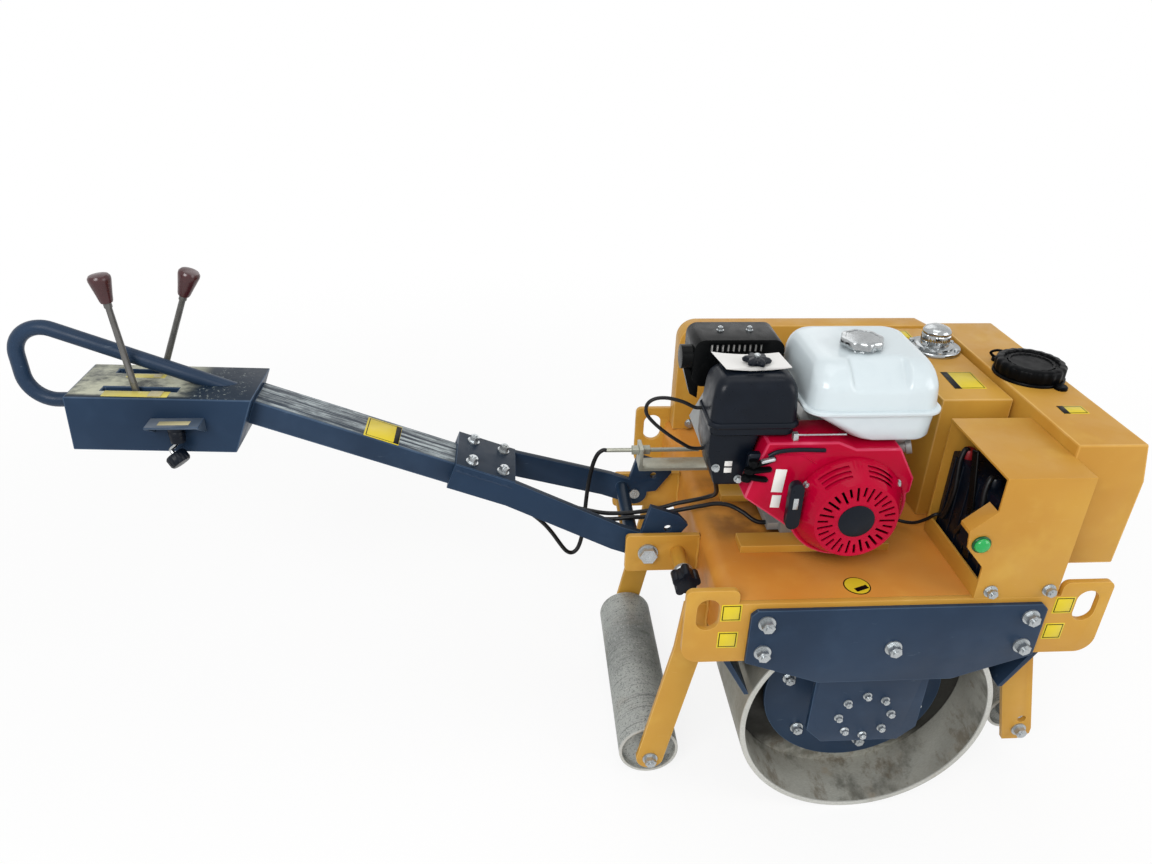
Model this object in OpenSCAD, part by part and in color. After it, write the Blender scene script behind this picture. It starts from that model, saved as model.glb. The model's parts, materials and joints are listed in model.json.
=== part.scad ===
// Walk-behind single drum vibratory roller, standing on its drum and its rear guide roller.
// Millimetres, +Z up, +X the way the machine drives away from its operator, drum axis along Y.

/* [Drum] */
// Outer diameter of the steel drum
drum_d = 450; // [400:5:480]
// Width of the drum
drum_w = 600; // [560:5:640]
// Wall of the drum shell
drum_wall = 10; // [6:1:14]
// Diameter of the painted drive disc in each end of the drum
disc_d = 328; // [300:2:360]
// Depth of the drive disc inside the drum's end
disc_recess = 70; // [60:1:80]
// Thickness of the drive disc and of the web behind it
disc_t = 10; // [8:1:14]
// Diameter of the hub on the drive disc
hub_d = 120; // [100:2:140]
// Length of the hub that stands out of the drive disc
hub_l = 20; // [12:1:24]
// Diameter of the stub axle
axle_d = 60; // [40:1:70]
// Radial running clearance of the axles and pivots
run_fit = 0.05; // [0.02:0.01:0.1]
// Number of rubber buffers behind each drive disc
buffer_n = 6; // [4:1:8]
// Diameter of a rubber buffer
buffer_d = 50; // [40:1:56]
// Length of a rubber buffer
buffer_l = 20; // [16:1:26]
// Pitch circle of the rubber buffers
buffer_pcd = 266; // [240:2:270]

/* [Frame] */
// Side gap between the drum and the frame plates
frame_gap = 9; // [6:1:14]
// Thickness of the frame side plates
frame_t = 10; // [8:1:14]
// Height of the deck above the floor
deck_z = 506; // [500:1:520]
// Length of the deck over its two end walls
deck_l = 570; // [550:2:600]
// Thickness of the deck sheet
deck_t = 8; // [6:1:12]
// Outer bend radius of the deck sheet
deck_bend = 25; // [16:1:32]
// Depth of the side plates below the deck
side_drop = 118; // [108:1:124]
// Length of the ear at each end of a side plate
ear_l = 85; // [76:1:94]
// Height of the ears above the deck
ear_rise = 27; // [20:1:34]
// How far the ears reach past the end walls
ear_reach = 63; // [56:1:70]
// Width of the tie-down slot in an ear
ear_slot_w = 37; // [30:1:44]
// Height of the tie-down slot in an ear
ear_slot_h = 61; // [54:1:70]
// Distance of the tie-down slot below the top of the ear
ear_slot_top = 17; // [12:1:24]
// Corner radius of the ears
ear_r = 12; // [6:1:18]
// Radius of the large lower corner of the ears
ear_heel_r = 30; // [20:1:38]

/* [Drum carriers] */
// Thickness of the carrier plates
carrier_t = 8; // [6:1:12]
// Length of a carrier plate along the frame
carrier_l = 486; // [460:2:500]
// Gap between the top of a carrier plate and the deck's top
carrier_top = 9; // [6:1:14]
// Height of the straight ends of a carrier plate
carrier_end_h = 107; // [96:1:116]
// Height of a carrier plate at its middle
carrier_h = 155; // [140:1:165]
// Length of the lower edge of a carrier plate
carrier_low_l = 228; // [210:2:250]
// Width of the tongue that carries the axle
tongue_w = 200; // [180:2:220]
// Depth of the tongue below the drum axis
tongue_low = 62; // [58:1:80]
// Inset of the tongue behind the drum's end
tongue_inset = 9; // [6:1:14]
// Thickness of the tongue
tongue_t = 10; // [8:1:14]
// Cut corners at the tongue's lower end
tongue_cut = 30; // [20:1:45]
// Diameter of the axle flange bolted to the tongue
flange_d = 124; // [112:1:140]
// Thickness of the axle flange
flange_t = 12; // [8:1:16]

/* [Guide rollers] */
// Diameter of the rear guide roller
roller_d = 114; // [100:1:120]
// Width of the rear guide roller
roller_w = 408; // [380:2:430]
// Diameter of the front guide roller
front_roller_d = 80; // [70:1:100]
// Width of the front guide roller
front_roller_w = 360; // [330:2:400]
// Wall of the guide rollers
roller_wall = 6; // [4:1:8]
// Depth of a guide roller's end plate inside its end
roller_recess = 14; // [8:1:24]
// Thickness of a guide roller's end plates
roller_web = 10; // [6:1:14]
// Diameter of the guide rollers' axle tubes
roller_axle_d = 32; // [24:1:36]
// Distance of the rear guide roller behind the rear wall
rear_roller_out = 78; // [70:1:90]
// Distance of the front guide roller ahead of the front wall
front_roller_out = 67; // [60:1:80]
// Height of the front guide roller above the floor
front_roller_lift = 61; // [50:1:70]
// Side gap between a guide roller and its arms
arm_gap = 8; // [6:1:12]
// Thickness of the roller arms
arm_t = 10; // [8:1:14]
// Width of the roller arms
arm_w = 52; // [44:1:58]
// Height of the arms' weld on the end walls
arm_weld = 36; // [30:1:50]
// Diameter of the adjusting hole above the front roller's bolt
adjust_d = 17; // [12:1:20]
// Distance of the adjusting hole above the front roller's axis
adjust_rise = 26; // [25:1:34]

/* [Scrapers] */
// Thickness of the scraper blades
scraper_t = 8; // [6:1:10]
// Gap between a scraper and the drum
scraper_gap = 6; // [5:0.5:9]
// Angle of a scraper's edge above the drum axis
scraper_angle = 18; // [14:1:24]
// Side gap between a scraper and the frame plates
scraper_side = 6; // [4:1:20]

/* [Handle yoke] */
// Distance of the handle pivot behind the rear wall
pivot_reach = 92; // [90:1:98]
// Depth of the handle pivot below the deck's top
pivot_drop = 48; // [44:1:56]
// Diameter of the pivot pins
pivot_d = 20; // [16:1:24]
// Thickness of the yoke plates
yoke_t = 10; // [8:1:14]
// Outer width over the yoke plates
yoke_w = 224; // [220:2:236]
// Height of the yoke plates
yoke_h = 76; // [70:1:84]
// Distance of the yoke plates' top below the deck's top
yoke_top = 13; // [10:1:18]
// Reach of the yoke plates past the pivot
yoke_past = 40; // [36:1:46]
// Diameter of the stop bar under the handle
stop_d = 12; // [10:1:16]
// Distance of the stop bar from the pivot along the handle
stop_reach = 20; // [18:1:26]
// Rest gap between the handle and its stop bar
stop_gap = 0.3; // [0.3:0.1:1]
// Distance of the lock pin from the pivot
lock_r = 54; // [50:1:60]
// Turn of the handle from rest to its locked position
lock_turn = 48; // [44:1:52]
// Length of the lock pin's tube
lock_tube_l = 68; // [56:1:74]
// Diameter of the lock pin's tube
lock_tube_d = 26; // [22:1:30]
// Diameter of the lock pin's star knob
lock_knob_d = 50; // [42:1:54]
// Thickness of the lock pin's star knob
lock_knob_t = 28; // [20:1:28]

/* [Handle] */
// Rise of the handle at rest
handle_tilt = 21; // [18:0.5:24]
// Depth of the fork arms
fork_depth = 50; // [46:1:54]
// Thickness of the fork arms
fork_t = 12; // [8:1:14]
// Side gap between the fork arms and the yoke plates
fork_gap = 5; // [5:0.5:8]
// Distance from the pivot to the end of the fork
fork_l = 372; // [350:1:390]
// Length of the fork's clamp on the bar
clamp_l = 110; // [96:1:124]
// Width of the fork over its clamp
clamp_w = 120; // [112:1:130]
// Thickness of the clamp plate
clamp_t = 13; // [10:1:16]
// Diameter of the cross tube between the fork arms
cross_d = 24; // [18:1:28]
// Distance of the cross tube from the pivot
cross_reach = 30; // [26:1:44]
// Reach of the lock lug from the pivot
lug_r = 86; // [80:1:88]
// Distance from the pivot to the bar's upper end
bar_l = 723; // [690:1:760]
// Width of the handle bar
bar_w = 75; // [66:1:84]
// Depth of the handle bar
bar_depth = 44; // [38:1:48]
// Wall of the handle bar
bar_wall = 5; // [3:0.5:8]
// Height of the bar's top above the pivot line
bar_top = 14; // [10:1:18]

/* [Control box] */
// Length of the control box
box_l = 296; // [280:2:320]
// Width of the control box
box_w = 130; // [116:1:144]
// Height of the control box
box_h = 97; // [86:1:104]
// Height of the box's front corner above the pivot line
box_rise = 29; // [26:1:36]
// Rise of the box's top towards the operator
box_crown = 10; // [0:1:16]
// Slant of the box's front wall
box_slant = 38; // [28:1:48]
// Wall of the control box
box_wall = 4; // [3:0.5:8]
// Width of a lever slot
slot_w = 16; // [14:1:20]
// Depth of a lever slot
slot_depth = 20; // [12:1:28]
// Tube diameter of the grip loop
grip_d = 25; // [22:1:28]
// Bend radius of the grip loop
grip_r = 48; // [40:1:54]
// Straight part of the grip loop behind the box
grip_run = 40; // [34:1:50]
// Straight upright part of the grip loop
grip_up = 34; // [24:1:44]
// Downward slope of the grip loop's upper run
grip_slope = 22; // [20:0.5:26]
// Depth of the grip loop's foot below the box's top
grip_low = 36; // [30:1:44]
// Diameter of the lever rods
lever_d = 14; // [10:1:16]
// Largest diameter of the lever knobs
knob_d = 35; // [30:1:40]
// Height of the lever knobs
knob_h = 46; // [40:1:52]
// Length of the throttle shelf on the control box
shelf_l = 86; // [76:1:96]
// Reach of the throttle shelf from the control box
shelf_w = 34; // [28:1:40]

/* [Engine] */
// Distance of the crankshaft behind the drum axis
crank_x = 79; // [72:1:86]
// Height of the crankshaft above the engine's base
crank_h = 106; // [104:1:112]
// Distance from the middle of the machine to the fan shroud's face
shroud_face = 225; // [218:1:232]
// Height of the engine rails
rail_h = 14; // [10:1:18]
// Width of the engine rails
rail_w = 40; // [34:1:46]
// Length of the engine rails
rail_l = 259; // [240:1:280]
// Base diameter of the starter dish
starter_d = 180; // [170:1:186]
// Diameter of the starter dish's slotted face
starter_face_d = 134; // [126:1:140]
// Depth of the starter dish
starter_depth = 45; // [36:1:50]
// Wall of the starter dish
starter_wall = 3; // [2:0.5:5]
// Number of slots in the starter's face
starter_slots = 30; // [20:2:36]
// Diameter of the starter's blank hub disc
starter_hub_d = 60; // [54:1:66]
// Depth of the fan shroud
shroud_depth = 78; // [66:1:84]
// Radius of the fan shroud round the crankshaft
shroud_r = 97; // [94:1:100]
// Length of the fuel tank
fuel_l = 220; // [200:2:240]
// Width of the fuel tank
fuel_w = 216; // [200:2:230]
// Height of the fuel tank's seam above the crankshaft
fuel_seam = 160; // [156:1:166]
// Height of the fuel tank's top above its seam
fuel_rise = 73; // [60:1:78]
// Diameter of the fuel cap
fuel_cap_d = 70; // [60:1:80]
// Number of fins on the cylinder
fin_n = 9; // [6:1:11]

/* [Deck fittings] */
// Height of the belt guard above the deck
guard_h = 236; // [224:2:250]
// Depth of the belt guard
guard_t = 44; // [38:1:52]
// Length of the belt guard
guard_l = 535; // [500:5:540]
// Radius of the belt guard's rounded corner
guard_r = 38; // [20:1:60]
// Cut corner at the front of the belt guard
guard_cut = 32; // [20:1:50]
// Sheet thickness of the belt guard and the tanks
sheet_t = 4; // [3:0.5:6]
// Length of the hydraulic tank
oil_l = 125; // [110:1:134]
// Width of the hydraulic tank
oil_w = 328; // [300:2:336]
// Gap between the hydraulic tank and the water tank
oil_gap = 10; // [6:1:16]
// Gap between the hydraulic tank and the belt guard
oil_back = 13; // [6:1:20]
// Height of the hydraulic tank
oil_h = 235; // [220:1:250]
// Length of the water tank along its top
water_l = 113; // [104:1:124]
// Width of the water tank
water_w = 514; // [480:2:530]
// Height of the water tank
water_h = 226; // [210:1:240]
// Height of the water tank's shelf
shelf_h = 18; // [14:1:24]
// Diameter of the water tank's cap
water_cap_d = 119; // [100:1:124]
// Length of the battery cover
cover_l = 138; // [124:1:142]
// Gap between the battery cover and the hydraulic tank
cover_back = 47; // [30:1:60]
// Gap between the battery cover and the water tank
cover_gap = 1; // [1:0.5:4]
// Height of the battery cover
cover_h = 224; // [210:1:236]
// Sheet thickness of the battery cover
cover_t = 4; // [3:0.5:6]

/* [Hidden] */
$fn = 64;
floor_z = 0;
drum_r = drum_d / 2;
axis_z = floor_z + drum_r;
drum_end = drum_w / 2;
disc_y = drum_end - disc_recess;
web_y = disc_y - disc_t - buffer_l;
frame_in = drum_end + frame_gap;
frame_out = frame_in + frame_t;
wall_x = deck_l / 2;
side_z = deck_z - side_drop;
ear_x = wall_x + ear_reach;
carrier_out = frame_out + carrier_t;
tongue_out = drum_end - tongue_inset;
tongue_in = tongue_out - tongue_t;
arm_in = roller_w / 2 + arm_gap;
arm_out = arm_in + arm_t;
roller_r = roller_d / 2;
front_roller_r = front_roller_d / 2;
front_roller_z = front_roller_lift + front_roller_r;
rear_roller_x = wall_x + rear_roller_out;
front_roller_x = wall_x + front_roller_out;
yoke_in = yoke_w / 2 - yoke_t;
fork_out = yoke_in - fork_gap;
pivot_x = -wall_x - pivot_reach;
pivot_z = deck_z - pivot_drop;
bar_low = bar_top - bar_depth;
crank_z = deck_z + rail_h + crank_h;

// Point of the handle's side view: u along the handle from the pivot, w above its pivot line
function along(u, w) = [
    pivot_x - u * cos(handle_tilt) + w * sin(handle_tilt),
    pivot_z + u * sin(handle_tilt) + w * cos(handle_tilt)
];
box_corner = along(bar_l, box_rise);
box_end_x = box_corner[0] - box_l;
grip_z = box_corner[1] + box_crown - grip_low;
grip_x = box_end_x - grip_run;
grip_collar_t = 1.5;
grip_far = grip_x - grip_r - grip_d / 2 - grip_collar_t;
water_x = wall_x - 29;
water_lean = 15;
water_far = water_x + water_l + water_lean;
front_far = max(water_far, front_roller_x + front_roller_r);
mid_x = (grip_far + front_far) / 2;

yellow = "#d98a1f";
blue = "#2b3d5c";
steel = "#9a9a98";
black = "#1b1c1f";
red = "#c3172f";

// Moves the drawing, made about the drum, to the middle of the machine on the floor
module placed() {
    translate([-mid_x, 0, 0]) children();
}

// Side view outline in X and Z, given its depth from y0 to y1
module slab(y0, y1) {
    translate([0, y1, 0]) rotate([90, 0, 0]) linear_extrude(y1 - y0) children();
}

module both_sides() {
    children();
    mirror([0, 1, 0]) children();
}

// Round bar along Y
module cross_bar(x, z, d, y0, y1) {
    translate([x, y1, z]) rotate([90, 0, 0]) cylinder(d = d, h = y1 - y0);
}

// Round rod between two points
module rod(p, q, d) {
    v = q - p;
    l = norm(v);
    translate(p) rotate([0, acos(v[2] / l), atan2(v[1], v[0])]) cylinder(d = d, h = l);
}

module rounded_rect(x0, z0, x1, z1, r) {
    translate([x0 + r, z0]) square([x1 - x0 - 2 * r, z1 - z0]);
    translate([x0, z0 + r]) square([x1 - x0, z1 - z0 - 2 * r]);
    for (x = [x0 + r, x1 - r], z = [z0 + r, z1 - r]) translate([x, z]) circle(r);
}

module slot_outline(w, h) {
    translate([-w / 2, -(h - w) / 2]) square([w, h - w]);
    for (s = [-1, 1]) translate([0, s * (h - w) / 2]) circle(d = w);
}

// Ear of a side plate on the +X end, with its tie-down slot
module ear_outline() {
    x0 = ear_x - ear_l;
    top = deck_z + ear_rise;
    difference() {
        union() {
            rounded_rect(x0, side_z + ear_heel_r, ear_x, top, ear_r);
            translate([x0, side_z]) square([ear_l - ear_heel_r, side_drop]);
            translate([ear_x - ear_heel_r, side_z + ear_heel_r]) circle(ear_heel_r);
            translate([x0, side_z + ear_heel_r]) square([ear_l, side_drop / 2]);
        }
        translate([ear_x - ear_slot_w, top - ear_slot_top - ear_slot_h / 2]) {
            slot_outline(ear_slot_w, ear_slot_h);
        }
    }
}

module side_outline() {
    inner = ear_x - ear_l + 1;
    translate([-inner, side_z]) square([2 * inner, side_drop]);
    ear_outline();
    mirror([1, 0]) ear_outline();
}

module frame_side() {
    slab(-frame_out, -frame_in) side_outline();
}

module frame_side_right() {
    color(yellow) placed() frame_side();
}

module frame_side_left() {
    color(yellow) placed() mirror([0, 1, 0]) frame_side();
}

// Deck sheet with its two end walls bent down
module deck() {
    color(yellow) placed() slab(-frame_in, frame_in) difference() {
        rounded_rect(-wall_x, side_z - deck_bend, wall_x, deck_z, deck_bend);
        rounded_rect(-wall_x + deck_t, side_z - deck_bend, wall_x - deck_t, deck_z - deck_t,
            deck_bend - deck_t);
        translate([-wall_x - 1, side_z - 2 * deck_bend]) square([deck_l + 2, 2 * deck_bend + 4]);
    }
}

module carrier_outline() {
    top = deck_z - carrier_top;
    end = carrier_l / 2;
    low = carrier_low_l / 2;
    polygon([
        [-end + 10, top], [-end, top - 10], [-end, top - carrier_end_h], [-low, top - carrier_h],
        [low, top - carrier_h], [end, top - carrier_end_h], [end, top - 10], [end - 10, top]
    ]);
}

module tongue_outline() {
    half = tongue_w / 2;
    low = axis_z - tongue_low;
    top = side_z - 3;
    polygon([
        [-half, top], [-half, low + tongue_cut], [-half + tongue_cut, low],
        [half - tongue_cut, low], [half, low + tongue_cut], [half, top]
    ]);
}

// Carrier plate outside the frame, its spacer, and the tongue that reaches into the drum's end
module drum_carrier() {
    spacer_z = deck_z - carrier_top - carrier_h;
    slab(-carrier_out, -frame_out) carrier_outline();
    slab(-tongue_out, -tongue_in) tongue_outline();
    slab(-frame_out, -tongue_out) {
        translate([-tongue_w / 2 + 10, spacer_z]) square([tongue_w - 20, side_z - 3 - spacer_z]);
    }
}

module drum_carrier_right() {
    color(blue) placed() drum_carrier();
}

module drum_carrier_left() {
    color(blue) placed() mirror([0, 1, 0]) drum_carrier();
}

module stub_axles() {
    color(steel) placed() both_sides() {
        cross_bar(0, axis_z, flange_d, -tongue_in, -tongue_in + flange_t);
        cross_bar(0, axis_z, axle_d, -tongue_in + flange_t - 1, -disc_y + disc_t);
    }
}

arm_top = side_z + 4 + arm_weld;
rear_knee = side_z - 60;
front_knee = side_z - 150;
arm_lip = 10;

// Rear roller arm from its weld on the rear wall to the roller, drawn for the +X end
module rear_arm_outline() {
    translate([rear_roller_x, roller_r]) circle(d = arm_w);
    polygon([
        [rear_roller_x - arm_w / 2, roller_r], [wall_x, rear_knee], [wall_x, arm_top],
        [wall_x + arm_w * 0.8, arm_top], [wall_x + arm_w, rear_knee], [rear_roller_x + arm_w / 2, roller_r]
    ]);
}

module rear_roller_arms() {
    color(yellow) placed() both_sides() slab(-arm_out, -arm_in) mirror([1, 0]) rear_arm_outline();
}

// Front roller arm: a bar that leans out from the front wall, one lower corner cut off
module front_arm_outline() {
    half = arm_w / 2;
    polygon([
        [front_roller_x - half, front_roller_z - half], [front_roller_x + half / 6, front_roller_z - half],
        [front_roller_x + half, front_roller_z - half / 2], [front_roller_x + half, front_roller_z],
        [wall_x + arm_lip, arm_top], [wall_x, arm_top], [wall_x, front_knee]
    ]);
}

module front_roller_arms() {
    color(yellow) placed() both_sides() slab(-arm_out, -arm_in) difference() {
        front_arm_outline();
        translate([front_roller_x, front_roller_z + adjust_rise]) circle(d = adjust_d);
    }
}

module roller_axles() {
    color(steel) placed() {
        cross_bar(-rear_roller_x, roller_r, roller_axle_d, -arm_in, arm_in);
        cross_bar(front_roller_x, front_roller_z, roller_axle_d, -arm_in, arm_in);
    }
}

// Scraper blade hung from an end wall, drawn for the +X end
module scraper_outline() {
    r = drum_r + scraper_gap;
    tip = [r * cos(scraper_angle), axis_z + r * sin(scraper_angle)];
    back = wall_x - deck_t;
    polygon([
        [back, side_z + 40], [back - scraper_t, side_z + 40], [back - scraper_t, side_z],
        tip, tip + [scraper_t, 0], [back, side_z - 6]
    ]);
}

module rear_scraper() {
    reach = frame_in - scraper_side;
    color(blue) placed() slab(-reach, reach) mirror([1, 0]) scraper_outline();
}

module front_scraper() {
    reach = frame_in - scraper_side;
    color(blue) placed() slab(-reach, reach) scraper_outline();
}

// Stop bar under the fork arms, just clear of their lower edge
stop_at = along(stop_reach, -(fork_depth / 2 + stop_gap + stop_d / 2));

module yoke_outline() {
    z1 = deck_z - yoke_top;
    x0 = pivot_x - yoke_past;
    difference() {
        rounded_rect(x0, z1 - yoke_h, -wall_x + 10, z1, 8);
        translate([-wall_x, z1 - yoke_h - 1]) square([20, yoke_h + 2]);
        translate([pivot_x, pivot_z]) circle(d = pivot_d + 2 * run_fit);
    }
}

module handle_yoke() {
    color(yellow) placed() {
        both_sides() slab(-yoke_w / 2, -yoke_in) yoke_outline();
        cross_bar(stop_at[0], stop_at[1], stop_d, -yoke_in - 1, yoke_in + 1);
    }
}

module pivot_pins() {
    color(steel) placed() both_sides() {
        cross_bar(pivot_x, pivot_z, pivot_d, -yoke_w / 2 - 1, -fork_out + fork_t + 4);
        translate([pivot_x, -yoke_w / 2, pivot_z]) rotate([90, 0, 0]) {
            cylinder(d = 36, h = 4);
            cylinder(d = 32, h = 15, $fn = 6);
        }
    }
}

// Spring pin that locks the raised handle, in its tube with a star knob
module lock_pin() {
    color(black) placed() {
        y = -yoke_w / 2;
        cross_bar(pivot_x + lock_r, pivot_z, lock_tube_d, y - lock_tube_l, y);
        translate([pivot_x + lock_r, y - lock_tube_l, pivot_z]) rotate([90, 0, 0]) {
            linear_extrude(lock_knob_t) {
                circle(d = lock_knob_d * 0.72);
                for (a = [0 : 72 : 288]) rotate(a + 18) translate([lock_knob_d * 0.35, 0]) {
                    circle(d = lock_knob_d * 0.3);
                }
            }
        }
    }
}

rail_front = shroud_face - 40;
rail_pitch = 160;
rail_back = 152;

module engine_rails() {
    color(yellow) placed() for (y = [-rail_front, -rail_front + rail_pitch]) {
        translate([-crank_x - rail_back, y, deck_z]) cube([rail_l, rail_w, rail_h]);
    }
}

base_z = deck_z + rail_h;
shroud_y = -shroud_face;
case_y = shroud_y + shroud_depth;
case_w = 200;
case_l = 150;
case_rise = 74;
foot_l = 190;
fuel_pan = 50;
post_w = 24;
cylinder_tilt = 25;

// Frame of the leaning cylinder: local Z runs along the cylinder from the crankshaft
module on_cylinder() {
    translate([-crank_x, case_y + 30, crank_z]) rotate([0, -90 + cylinder_tilt, 0]) children();
}

module cylinder_head() {
    on_cylinder() translate([-55, 6, 190]) cube([110, 128, 24]);
}

// Crankcase on the rails with the finned cylinder leaning back and its head
module engine_block() {
    color("#b8b9b6") placed() {
        translate([-crank_x - case_l / 2, case_y, base_z]) cube([case_l, case_w, crank_h + case_rise]);
        translate([-crank_x - foot_l / 2, case_y + 10, base_z]) cube([foot_l, case_w - 20, 14]);
        for (x = [-post_w, case_l / 2 - post_w]) translate([-crank_x + x, case_y + 30, crank_z]) {
            cube([post_w, 90, fuel_seam - fuel_pan]);
        }
        cross_bar(-crank_x, crank_z, starter_d - 30, shroud_y + 10, case_y + 1);
        on_cylinder() {
            translate([-50, 10, 60]) cube([100, 120, 131]);
            for (i = [0 : fin_n - 1]) translate([-60, 6, 84 + i * 12]) cube([120, 128, 5]);
        }
        cylinder_head();
    }
}

// Wing of the fan shroud over the leaning cylinder
module shroud_wing() {
    translate([-crank_x, crank_z]) polygon([
        [-170, 17], [-152, 90], [-143, 117], [-31, 117], [-1, 104], [71, 104],
        [101, 50], [100, 24], [-42, -77]
    ]);
}

// Fan shroud with the opening that the starter closes
module fan_shroud() {
    color(red) placed() difference() {
        union() {
            cross_bar(-crank_x, crank_z, 2 * shroud_r, shroud_y, case_y);
            slab(shroud_y, case_y) shroud_wing();
        }
        cross_bar(-crank_x, crank_z, starter_d - 24, shroud_y - 1, case_y + 1);
    }
}

// Part of a ring between two angles
module arc_band(r, w, a0, a1) {
    mid = (a0 + a1) / 2;
    intersection() {
        difference() {
            circle(r + w);
            circle(r);
        }
        polygon([
            [0, 0], 2 * r * [cos(a0), sin(a0)], 2 * r * [cos(mid), sin(mid)], 2 * r * [cos(a1), sin(a1)]
        ]);
    }
}

face_slot_w = 4.2;
louvre_w = 2.6;
louvre_pitch = 4.4;

// Starter cover: a hollow dish with slots round its face and six louvres above
module recoil_starter() {
    base_r = starter_d / 2;
    face_r = starter_face_d / 2;
    color(red) placed() translate([-crank_x, shroud_y, crank_z]) rotate([90, 0, 0]) difference() {
        rotate_extrude() polygon([
            [0, starter_depth - starter_wall], [face_r - starter_wall, starter_depth - starter_wall],
            [base_r - 2 * starter_wall, 0], [base_r, 0], [base_r, starter_wall],
            [face_r, starter_depth], [0, starter_depth]
        ]);
        for (i = [0 : starter_slots - 1]) rotate(i * 360 / starter_slots) {
            inner = starter_hub_d / 2 + (i % 2 == 0 ? 7 : 15);
            translate([inner, -face_slot_w / 2, starter_depth - starter_wall - 1]) {
                cube([face_r - 5 - inner, face_slot_w, starter_wall + 2]);
            }
        }
        for (side = [-1, 1], k = [0 : 2]) translate([0, 0, 1]) linear_extrude(starter_depth) {
            arc_band(face_r + 6 + k * louvre_pitch, louvre_w, 90 + side * 10, 90 + side * 46);
        }
    }
}

grip_h = 84;
grip_w = 22;
grip_t = 14;

// Recoil grip standing upright beside the starter, on the stub of its rope
module starter_grip() {
    color(black) placed() translate([-crank_x - 96, shroud_y, crank_z + 18]) {
        slab(-grip_t - 16, -16) slot_outline(grip_w, grip_h);
        cross_bar(0, 0, 12, -16, 0);
    }
}

// Rounded tray of the fuel tank at a height, drawn as a thin plate, its left end or its front drawn in
module tank_tray(inset, z, t, r, left = 0, front = 0) {
    translate([0, 0, z]) linear_extrude(t) rounded_rect(
        -fuel_l / 2 + inset + left, -fuel_w / 2 + inset + front, fuel_l / 2 - inset, fuel_w / 2 - inset, r
    );
}

fuel_x = 24 - crank_x;
fuel_y = shroud_y + 5 + fuel_w / 2;
fuel_heel = 74;
fuel_cap_fore = 12;
fuel_cap_left = 7;

// Fuel tank: pan with a slanted left end, rolled seam, and a top that rises from steep sides
module fuel_tank() {
    color("#e9ebea") placed() translate([fuel_x, fuel_y, crank_z + fuel_seam]) {
        hull() {
            tank_tray(10, -fuel_pan, 1, 24, fuel_heel);
            tank_tray(7, -8, 1, 30);
            tank_tray(6, -2, 1, 30);
        }
        tank_tray(0, -2, 6, 34);
        hull() {
            tank_tray(6, 3, 1, 32);
            tank_tray(9, fuel_rise - 32, 1, 32);
            tank_tray(13, fuel_rise - 16, 1, 30, front = 6);
            tank_tray(18, fuel_rise - 6, 1, 28, front = 12);
            tank_tray(25, fuel_rise, 1, 26, front = 18);
        }
    }
}

cap_lobes = 8;

// Lobed filler cap on its neck
module fuel_cap() {
    z = crank_z + fuel_seam + fuel_rise + 1;
    color("silver") placed() translate([fuel_x - fuel_cap_left, fuel_y - fuel_cap_fore, z]) {
        cylinder(d = fuel_cap_d - 18, h = 4);
        translate([0, 0, 3]) linear_extrude(15) difference() {
            circle(d = fuel_cap_d);
            for (i = [0 : cap_lobes - 1]) rotate(i * 360 / cap_lobes) translate([fuel_cap_d * 0.62, 0]) {
                circle(d = fuel_cap_d * 0.28);
            }
        }
    }
}

cleaner_x = [-crank_x - 236, -crank_x - 93];
cleaner_y = [shroud_y + 9, shroud_y + 107];
cleaner_z = [crank_z + 122, crank_z + 216];
cleaner_rim = crank_z + 137;

// Rounded level of the air cleaner, drawn in by an inset
module cleaner_tray(inset, z, t, r) {
    translate([0, 0, z]) linear_extrude(t) rounded_rect(
        cleaner_x[0] + inset, cleaner_y[0] + inset, cleaner_x[1] - inset, cleaner_y[1] - inset, r
    );
}

// Air cleaner: base, rim and rounded cover, held by a wing knob
module air_cleaner() {
    top = cleaner_z[1];
    color(black) placed() {
        cleaner_tray(5, cleaner_z[0], cleaner_rim - cleaner_z[0] + 1, 14);
        cleaner_tray(0, cleaner_rim, 8, 18);
        hull() {
            cleaner_tray(3, cleaner_rim + 7, 1, 15);
            cleaner_tray(7, top - 18, 1, 15);
            cleaner_tray(11, top - 8, 1, 15);
            cleaner_tray(19, top - 1, 1, 14);
        }
        translate([(cleaner_x[0] + cleaner_x[1]) / 2, (cleaner_y[0] + cleaner_y[1]) / 2, top - 1]) {
            cylinder(d = 20, h = 10);
            translate([0, 0, 9]) linear_extrude(10) slot_outline(14, 44);
        }
    }
}

module carburettor_cover() {
    color(black) placed() slab(cleaner_y[0] + 14, case_y + 36) translate([-crank_x, crank_z]) polygon([
        [-216, 28], [-175, 28], [-159, 90], [-151, 122], [-230, 122], [-230, 84]
    ]);
}

muffler_l = 148;
muffler_w = 80;
muffler_h = 82;
muffler_gap = 28;
muffler_r = 18;
shield_slots = 10;

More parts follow.
